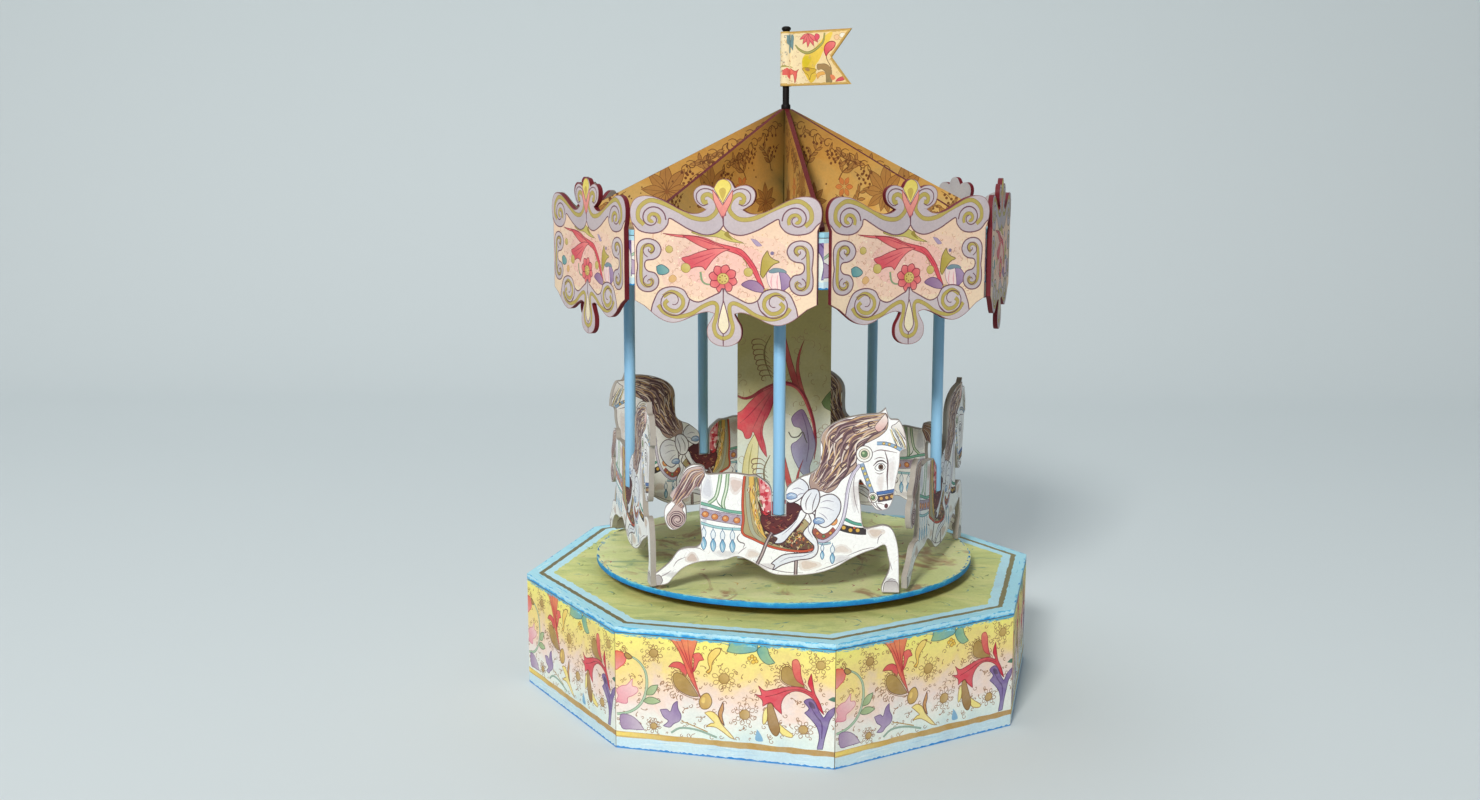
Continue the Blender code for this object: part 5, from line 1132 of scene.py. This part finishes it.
        # scrolling sprigs under the slanted edge
        for cx in (9, 16, 24, 33, 43):
            cy = APEX - 50.5 * cx / FIN_R - 4.6
            curl = [(cx + 2.7 * (1 - 0.1 * t) * math.cos(0.6 + t * 0.75), cy + 2.4 * (1 - 0.1 * t) * math.sin(0.6 + t * 0.75)) for t in range(9)]
            art.line(f(curl, 4, False), [0.3, 0.5, 0.25], BROWN)
            for j in range(3):
                berries(cx + 2.4, cy + 0.4, -1.0 - 0.6 * j + rnd.uniform(-0.2, 0.2), rnd.uniform(3.6, 5.6), rnd.choice((-0.6, 0.6)))
            leaf(cx - 1.5, cy + 1.0, rnd.uniform(2.4, 3.4), 3.6, 0.2, False)
        for j in range(34):
            x = rnd.uniform(6, 92)
            y = rnd.uniform(FOOT + 1, APEX - 50.5 * x / FIN_R - 3)
            art.fill(disc(x * sx, y, rnd.uniform(0.3, 0.55), 7), BROWN)
        # faded orange bloom
        for j in range(6):
            a = 1.05 * j
            leafy = [(33 + 0.8 * math.cos(a), 229 + 0.8 * math.sin(a), 1), (33 + 2.9 * math.cos(a + 0.4), 229 + 2.9 * math.sin(a + 0.4)), (33 + 4.6 * math.cos(a), 229 + 4.6 * math.sin(a)), (33 + 2.9 * math.cos(a - 0.4), 229 + 2.9 * math.sin(a - 0.4))]
            art.shape(f(leafy), rgb(216, 132, 70), rgb(170, 92, 50), 0.22)
        a, b = np.array((sx * FIN_R, FOOT + 1.5)), np.array((sx * 1.0, APEX + 1))
        art.line([a, b], 0.6, BURGUNDY)
    mesh = sheet_mesh(f"roof_fin_mesh_{k + 1}", loop, 2.0, art, rgb(204, 152, 78), BURGUNDY)
    show(f"roof_board_{k + 1}", mesh, ROOF, "carousel", [f"roof_fin_{k + 1}"], upright(CANOPY_TURN + 45 * k + 90, 0.0))


# ---------------------------------------------------------------- turned pieces
def lathe(name, profile, steps=48, closed=False):
    """A closed turned body. profile is (radius, height) pairs in millimetres."""
    bm = bmesh.new()
    rings = []
    for r, z in profile:
        if r == 0:
            rings.append([bm.verts.new((0, 0, z * MM))])
        else:
            rings.append([bm.verts.new((r * MM * math.cos(2 * math.pi * k / steps), r * MM * math.sin(2 * math.pi * k / steps), z * MM)) for k in range(steps)])
    for a, b in zip(rings, rings[1:] + (rings[:1] if closed else [])):
        for k in range(steps):
            j = (k + 1) % steps
            ring = [a[k % len(a)], a[j % len(a)], b[j % len(b)], b[k % len(b)]]
            ring = [v for i, v in enumerate(ring) if v not in ring[:i]]
            if len(ring) > 2:
                bm.faces.new(ring)
    bmesh.ops.recalc_face_normals(bm, faces=bm.faces)
    mesh = bpy.data.meshes.new(name)
    bm.to_mesh(mesh)
    bm.free()
    for p in mesh.polygons:
        p.use_smooth = abs(p.normal.z) < 0.9
    return mesh


def pole_paint():
    n = Nodes("pole_paint")
    brush = n.noise(60.0, 4.0, 0.6, 0.4, stretch=(1.0, 1.0, 0.12))
    colour = n.ramp(brush, [(0.3, rgb(120, 176, 218)), (0.5, rgb(152, 203, 238)), (0.68, rgb(186, 226, 248))])
    worn = n.span(n.noise(150.0, 5.0, 0.7, 0.5, stretch=(1.0, 1.0, 0.3)), 0.64, 0.70)
    colour = n.mix(n.math("MULTIPLY", worn, 0.6), colour, rgb(206, 196, 164))
    n.bump(n.noise(240.0, 3.0, 0.6, 0.2, stretch=(1.0, 1.0, 0.15)), 0.35, 0.0003)
    return n.finish(colour, n.span(brush, 0.3, 0.7, 0.42, 0.6))


POLE = pole_paint()
pole_mesh = lathe("pole_mesh", [(0, 192.4), (2.3, 192.4), (2.5, 192.15), (2.5, 93.9), (2.3, 93.55), (1.9, 93.4), (0, 93.4)])
for k in range(5):
    a = math.radians(POLE_TURN + 72 * k)
    show(f"painted_pole_{k + 1}", pole_mesh, POLE, "carousel", [f"pole_{k + 1}"], Matrix.Translation((POLE_RING * math.sin(a) * MM, -POLE_RING * math.cos(a) * MM, 0)))


def mast_paint():
    n = Nodes("mast_paint")
    brush = n.noise(120.0, 4.0, 0.6, 0.3, stretch=(1.0, 1.0, 0.25))
    colour = n.ramp(brush, [(0.35, rgb(8, 6, 5)), (0.66, rgb(18, 12, 10)), (0.8, rgb(46, 34, 26))])
    n.bump(brush, 0.3, 0.0003)
    return n.finish(colour, n.span(brush, 0.3, 0.7, 0.5, 0.66), spec=0.25)


mast_mesh = lathe("mast_mesh", [(0, 299.7), (1.0, 299.65), (1.6, 299.4), (2.0, 299.0), (2.1, 298.6), (2.0, 298.2), (1.7, 297.8), (1.5, 297.5), (1.5, 265.6), (1.7, 265.5), (2.0, 265.2),
                                (2.1, 264.8), (2.1, 263.6), (2.0, 263.2), (1.7, 262.9), (1.5, 262.7), (1.5, 254.0), (0, 254.0)], 40)
show("painted_mast", mast_mesh, mast_paint(), "carousel", ["mast"])

# ---------------------------------------------------------------- flag
LOW, HIGH, OUT, NOTCH = 273.4, 297.2, 33.6, 23.6
mid = (LOW + HIGH) / 2


def flg(points, parts=4, closed=True):
    """Grid of the flag's print: 300 at the mast to 1240 at the tips, 265 down to 1120."""
    out = []
    for p in points:
        t = (p[0] - 300) / 940
        top, bottom = 265 - 75 * t, 1120 - 55 * t
        out.append((2 + 31.6 * t, HIGH - 23.8 * (p[1] - top) / (bottom - top), *p[2:]))
    return smooth(out, parts, closed)


art = Art()
rnd = random.Random(77)
art.fill([(0, LOW - 1), (OUT + 1, LOW - 1), (OUT + 1, HIGH + 1), (0, HIGH + 1)], rgb(250, 232, 190), rgb(250, 216, 150), (1, 0.2))
art.fill(flg([(500, 700), (540, 620), (700, 500), (860, 300), (960, 260), (900, 420), (820, 560), (760, 700), (700, 800), (720, 960), (640, 1060), (560, 960), (500, 820)]), rgb(248, 214, 92), rgb(238, 200, 70), (0, -1))
art.fill(flg([(500, 690), (560, 640), (640, 660), (620, 740), (560, 820), (510, 780)]), rgb(226, 200, 44))
for k in range(46):
    x, y, r, a = rnd.uniform(310, 1100), rnd.uniform(280, 1080), rnd.uniform(14, 30), rnd.uniform(0, 6.28)
    pts = [(x + r * (1 - 0.1 * t) * math.cos(a + t * 0.62), y + r * (1 - 0.1 * t) * math.sin(a + t * 0.62)) for t in range(8)]
    art.line(flg(pts, 2, False), 0.16, rgb(206, 164, 124))
art.line(flg([(390, 470), (450, 540), (560, 590), (660, 560), (760, 480), (820, 400), (838, 270)], 4, False), [0.6, 1.2, 1.3, 1.1, 0.8], rgb(150, 144, 76))
art.line(flg([(390, 470), (450, 540), (560, 590), (660, 560), (760, 480), (820, 400), (838, 270)], 4, False), [0.15, 0.4, 0.4, 0.4, 0.2], rgb(186, 180, 110))
for a, size in ((2.55, 150), (2.1, 170), (1.65, 190), (1.2, 180), (0.75, 170)):
    x, y, dx, dy = 600, 290, math.cos(a), math.sin(a)
    art.shape(flg([(x, y), (x + size * 0.5 * dx - 30 * dy, y + size * 0.5 * dy + 30 * dx), (x + size * 1.15 * dx, y + size * 1.15 * dy, 1), (x + size * 0.5 * dx + 30 * dy, y + size * 0.5 * dy - 30 * dx)]), rgb(232, 92, 104), rgb(176, 60, 70), 0.22, rgb(246, 140, 132), (0, 1))
art.shape(flg([(700, 290), (750, 300), (760, 350), (720, 390), (690, 350)]), rgb(232, 92, 112), rgb(176, 60, 70), 0.22)
art.shape(flg([(330, 310), (362, 340), (360, 430), (352, 560, 1), (320, 500), (296, 480), (322, 400)]), rgb(120, 152, 156), rgb(84, 110, 118), 0.2)
art.shape(flg([(868, 640, 1), (836, 560), (842, 480), (890, 420), (950, 400), (1000, 420), (992, 480), (950, 530), (896, 580)]), rgb(226, 84, 96), rgb(160, 46, 60), 0.36, rgb(244, 132, 126), (1, 1))
art.line(flg([(868, 640), (884, 700), (920, 760), (950, 830)], 3, False), [0.4, 0.3], rgb(130, 92, 60))
art.shape(flg([(730, 770), (780, 760), (850, 756), (910, 790), (950, 860), (960, 1060, 1), (870, 1060, 1), (860, 900), (800, 840), (740, 850)]), rgb(176, 140, 92), rgb(140, 116, 78), 0.24, rgb(150, 134, 92), (0, -1))
art.shape(flg([(500, 840), (560, 820), (640, 830), (720, 850), (680, 900), (640, 930), (620, 1020, 1), (590, 940), (540, 900)]), rgb(216, 176, 50), rgb(150, 116, 30), 0.24, rgb(240, 206, 90), (0, -1))
art.shape(flg([(540, 840), (590, 826), (620, 860), (580, 880)]), rgb(176, 136, 84))
art.shape(flg([(720, 930), (760, 890), (830, 880), (850, 920), (780, 940), (740, 1000, 1)]), rgb(244, 184, 96), rgb(206, 140, 70), 0.2)
art.shape(flg([(215, 880), (240, 840), (300, 830), (352, 866), (400, 880), (446, 850, 1), (420, 900), (412, 980), (386, 1080, 1), (376, 990), (352, 930), (300, 950), (240, 940)]), rgb(228, 92, 92), rgb(176, 60, 64), 0.24, rgb(244, 150, 120), (-1, 0))
art.line(flg([(225, 830), (290, 806), (350, 830)], 3, False), [0.3, 0.6, 0.3], rgb(176, 166, 90))
art.shape(flg([(1010, 1030, 1), (1050, 980), (1120, 950), (1150, 980), (1120, 1010)]), rgb(226, 96, 104), rgb(176, 60, 70), 0.22)
art.shape(flg([(930, 930), (980, 930), (1010, 980), (960, 1010)]), rgb(240, 140, 96))
art.shape(flg([(1060, 300), (1100, 262), (1150, 280), (1130, 330), (1090, 340)]), rgb(252, 246, 226), rgb(214, 176, 130), 0.22)
art.shape(flg([(980, 330), (1030, 290), (1060, 340), (1020, 380)]), rgb(248, 206, 160), rgb(206, 160, 110), 0.2)
edge = np.array([(0, LOW), (OUT, LOW), (NOTCH, mid), (OUT, HIGH), (0, HIGH)])
for a, b in zip(edge, edge[1:]):
    art.line(torn_line(a, b, 0.2, rnd), 2.0, rgb(214, 176, 98))
    art.line(torn_line(a, b, 0.25, rnd), 0.8, rgb(196, 152, 74))
mesh = sheet_mesh("flag_mesh", [(2.0, LOW), (OUT, LOW), (NOTCH, mid), (OUT, HIGH), (2.0, HIGH)], 0.8, art, rgb(250, 230, 170), rgb(226, 190, 110))
FLAG = printed("flag_print", wash=0.1)
# the sleeve round the mast carries the same print, laid out from the cloth backwards
wrap = Art()
wrap.fill([(-9, LOW - 1), (3, LOW - 1), (3, HIGH + 1), (-9, HIGH + 1)], rgb(250, 232, 190))
for k in range(60):
    x, y, r, a = rnd.uniform(-8, 2), rnd.uniform(LOW, HIGH), rnd.uniform(0.5, 1.3), rnd.uniform(0, 6.28)
    wrap.line([(x + r * (1 - 0.1 * t) * math.cos(a + t * 0.62), y + r * (1 - 0.1 * t) * math.sin(a + t * 0.62)) for t in range(8)], 0.3, rnd.choice((rgb(206, 164, 124), rgb(176, 170, 150), rgb(226, 190, 130))))
wrap.fill([(-0.4, 295.4), (1.6, 296.2), (2.8, 293.6), (2.4, 290.0), (1.0, 287.4), (0.8, 291.0), (-0.6, 292.4)], rgb(120, 152, 156))
wrap.fill([(-2.6, 280.2), (-0.6, 281.4), (1.2, 280.8), (3.0, 280.0), (3.0, 277.6), (1.0, 276.4), (-0.4, 278.2), (-2.4, 278.0)], rgb(230, 104, 96))
wrap.line([(-5.2, 281.2), (-2.4, 282.2), (0.8, 281.9)], 0.6, rgb(176, 166, 90))
wrap.fill([(-6.8, 288.0), (-5.0, 290.6), (-3.2, 288.6), (-4.8, 286.4)], rgb(248, 214, 92))
for y in (LOW, HIGH):
    wrap.line([(-9, y), (-4, y + 0.1), (3, y)], 1.9, rgb(214, 176, 98))
rows = 60
sleeve = lathe("flag_sleeve_mesh", [(2.6, HIGH - (HIGH - LOW) * j / rows) for j in range(rows + 1)] + [(1.8, LOW), (1.8, HIGH)], 40, closed=True)
mids = np.array([p.center for p in sleeve.polygons]) / MM
spots = np.column_stack([2.0 - 2.6 * np.abs(np.arctan2(mids[:, 1], mids[:, 0])), mids[:, 2]])
tint = np.tile(np.array(rgb(250, 232, 190)), (len(spots), 1))
for poly, colour, *_rest in wrap.layers:
    tint[winding(poly, spots) != 0] = colour
sleeve.transform(Matrix.Rotation(math.radians(-90), 4, "X"))
layer = sleeve.color_attributes.new("art", "FLOAT_COLOR", "CORNER")
shades = []
for p, colour in zip(sleeve.polygons, tint):
    shades += [(*colour, 1.0)] * len(p.vertices)
layer.data.foreach_set("color", np.array(shades, np.float32).reshape(-1))
both = bmesh.new()
both.from_mesh(mesh)
both.from_mesh(sleeve)
whole = bpy.data.meshes.new("flag_whole")
both.to_mesh(whole)
both.free()
show("flag_cloth", whole, FLAG, "carousel", ["flag"], upright(-32, 0))


# ---------------------------------------------------------------- plain board, brass, steel
def plain_board():
    n = Nodes("plain_board")
    grain = n.noise(30.0, 5.0, 0.65, 0.8, stretch=(1.0, 7.0, 1.0))
    colour = n.ramp(grain, [(0.3, rgb(150, 120, 84)), (0.5, rgb(176, 146, 106)), (0.7, rgb(196, 168, 128))])
    fibre = n.noise(380.0, 3.0, 0.7, 0.2, stretch=(1.0, 5.0, 1.0))
    colour = n.mix(n.span(fibre, 0.58, 0.7, 0.0, 0.5), colour, rgb(126, 98, 66))
    n.bump(n.math("ADD", grain, fibre), 0.3, 0.0003)
    return n.finish(colour, n.span(grain, 0.3, 0.7, 0.62, 0.8))


def metal(name, low, high, rough, stretch=(1.0, 8.0, 1.0), tarnish=None):
    n = Nodes(name)
    brushed = n.noise(260.0, 4.0, 0.6, 0.0, stretch=stretch)
    cloud = n.noise(55.0, 4.0, 0.6, 0.7)
    colour = n.ramp(cloud, [(0.3, low), (0.7, high)])
    if tarnish:
        colour = n.mix(n.span(n.noise(90.0, 5.0, 0.7, 0.8), 0.58, 0.72, 0.0, 0.7), colour, tarnish)
    n.bump(brushed, 0.15, 0.0001)
    return n.finish(colour, n.span(brushed, 0.3, 0.7, rough - 0.07, rough + 0.12), metallic=1.0)


PLAIN = plain_board()
BRASS = metal("brass", rgb(190, 148, 72), rgb(222, 184, 104), 0.32, tarnish=rgb(128, 96, 48))
STEEL = metal("steel", rgb(150, 152, 156), rgb(192, 194, 196), 0.34, tarnish=rgb(120, 108, 98))
BLUED = metal("blued_steel", rgb(34, 42, 66), rgb(62, 74, 108), 0.3)
finishes = {"plain_board": PLAIN, "brass": BRASS, "steel": STEEL, "blued_steel": BLUED}
for name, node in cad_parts.items():
    if node.hide_render or not node.material_slots:
        continue
    for place in node.material_slots:
        base = place.material.name.split(".")[0] if place.material else ""
        if base in finishes:
            place.material = finishes[base]
        else:
            print("no finish for", name, base)

# ---------------------------------------------------------------- floor, backdrop, light and camera
n = Nodes("floor_paper")
n.finish(rgb(214, 222, 224), 0.9, spec=0.1)
bm = bmesh.new()
width, bend = 3.2, 0.5
profile = [(-1.6, 0.0), (0.55, 0.0)]
for k in range(1, 17):
    a = math.pi / 2 * k / 16
    profile.append((0.75 + bend * math.sin(a), bend * (1 - math.cos(a))))
profile.append((0.75 + bend, 2.2))
rows = []
for y, z in profile:
    rows.append((bm.verts.new((-width, y, z)), bm.verts.new((width, y, z))))
for (a, b), (c, d) in zip(rows, rows[1:]):
    bm.faces.new((a, b, d, c))
mesh = bpy.data.meshes.new("floor_sweep")
bm.to_mesh(mesh)
bm.free()
for p in mesh.polygons:
    p.use_smooth = True
mesh.materials.append(n.mat)
floor = bpy.data.objects.new("floor_sweep", mesh)
bpy.context.scene.collection.objects.link(floor)


def softbox(name, at, aim, size, power, colour):
    light = bpy.data.lights.new(name, "AREA")
    light.shape, light.size, light.energy, light.color = "SQUARE", size, power, colour
    obj = bpy.data.objects.new(name, light)
    obj.location = at
    obj.rotation_euler = (Vector(aim) - Vector(at)).to_track_quat("-Z", "Y").to_euler()
    bpy.context.scene.collection.objects.link(obj)


softbox("key_light", (-0.70, -2.52, 1.66), (0, 0, 0.12), 0.5, 71.0, (1.0, 0.985, 0.955))
softbox("sky_light", (-0.3, 0.2, 2.4), (0, 0, 0.1), 1.6, 18.0, (0.97, 0.985, 1.0))
world = bpy.data.worlds.new("studio")
bpy.context.scene.world = world
world.use_nodes = True
world.node_tree.nodes["Background"].inputs["Color"].default_value = (0.80, 0.88, 0.94, 1.0)
world.node_tree.nodes["Background"].inputs["Strength"].default_value = 0.16
bpy.context.scene.view_settings.view_transform = "Standard"

cam = bpy.data.cameras.new("camera")
cam.lens, cam.sensor_width, cam.sensor_fit = 35.50, 36.0, "HORIZONTAL"
cam.clip_start = 0.01
camera = bpy.data.objects.new("camera", cam)
camera.location = (0.0, -0.67104, 0.23688)
camera.rotation_euler = (math.radians(80.984), math.radians(-0.084), math.radians(1.762))
bpy.context.scene.collection.objects.link(camera)
bpy.context.scene.camera = camera

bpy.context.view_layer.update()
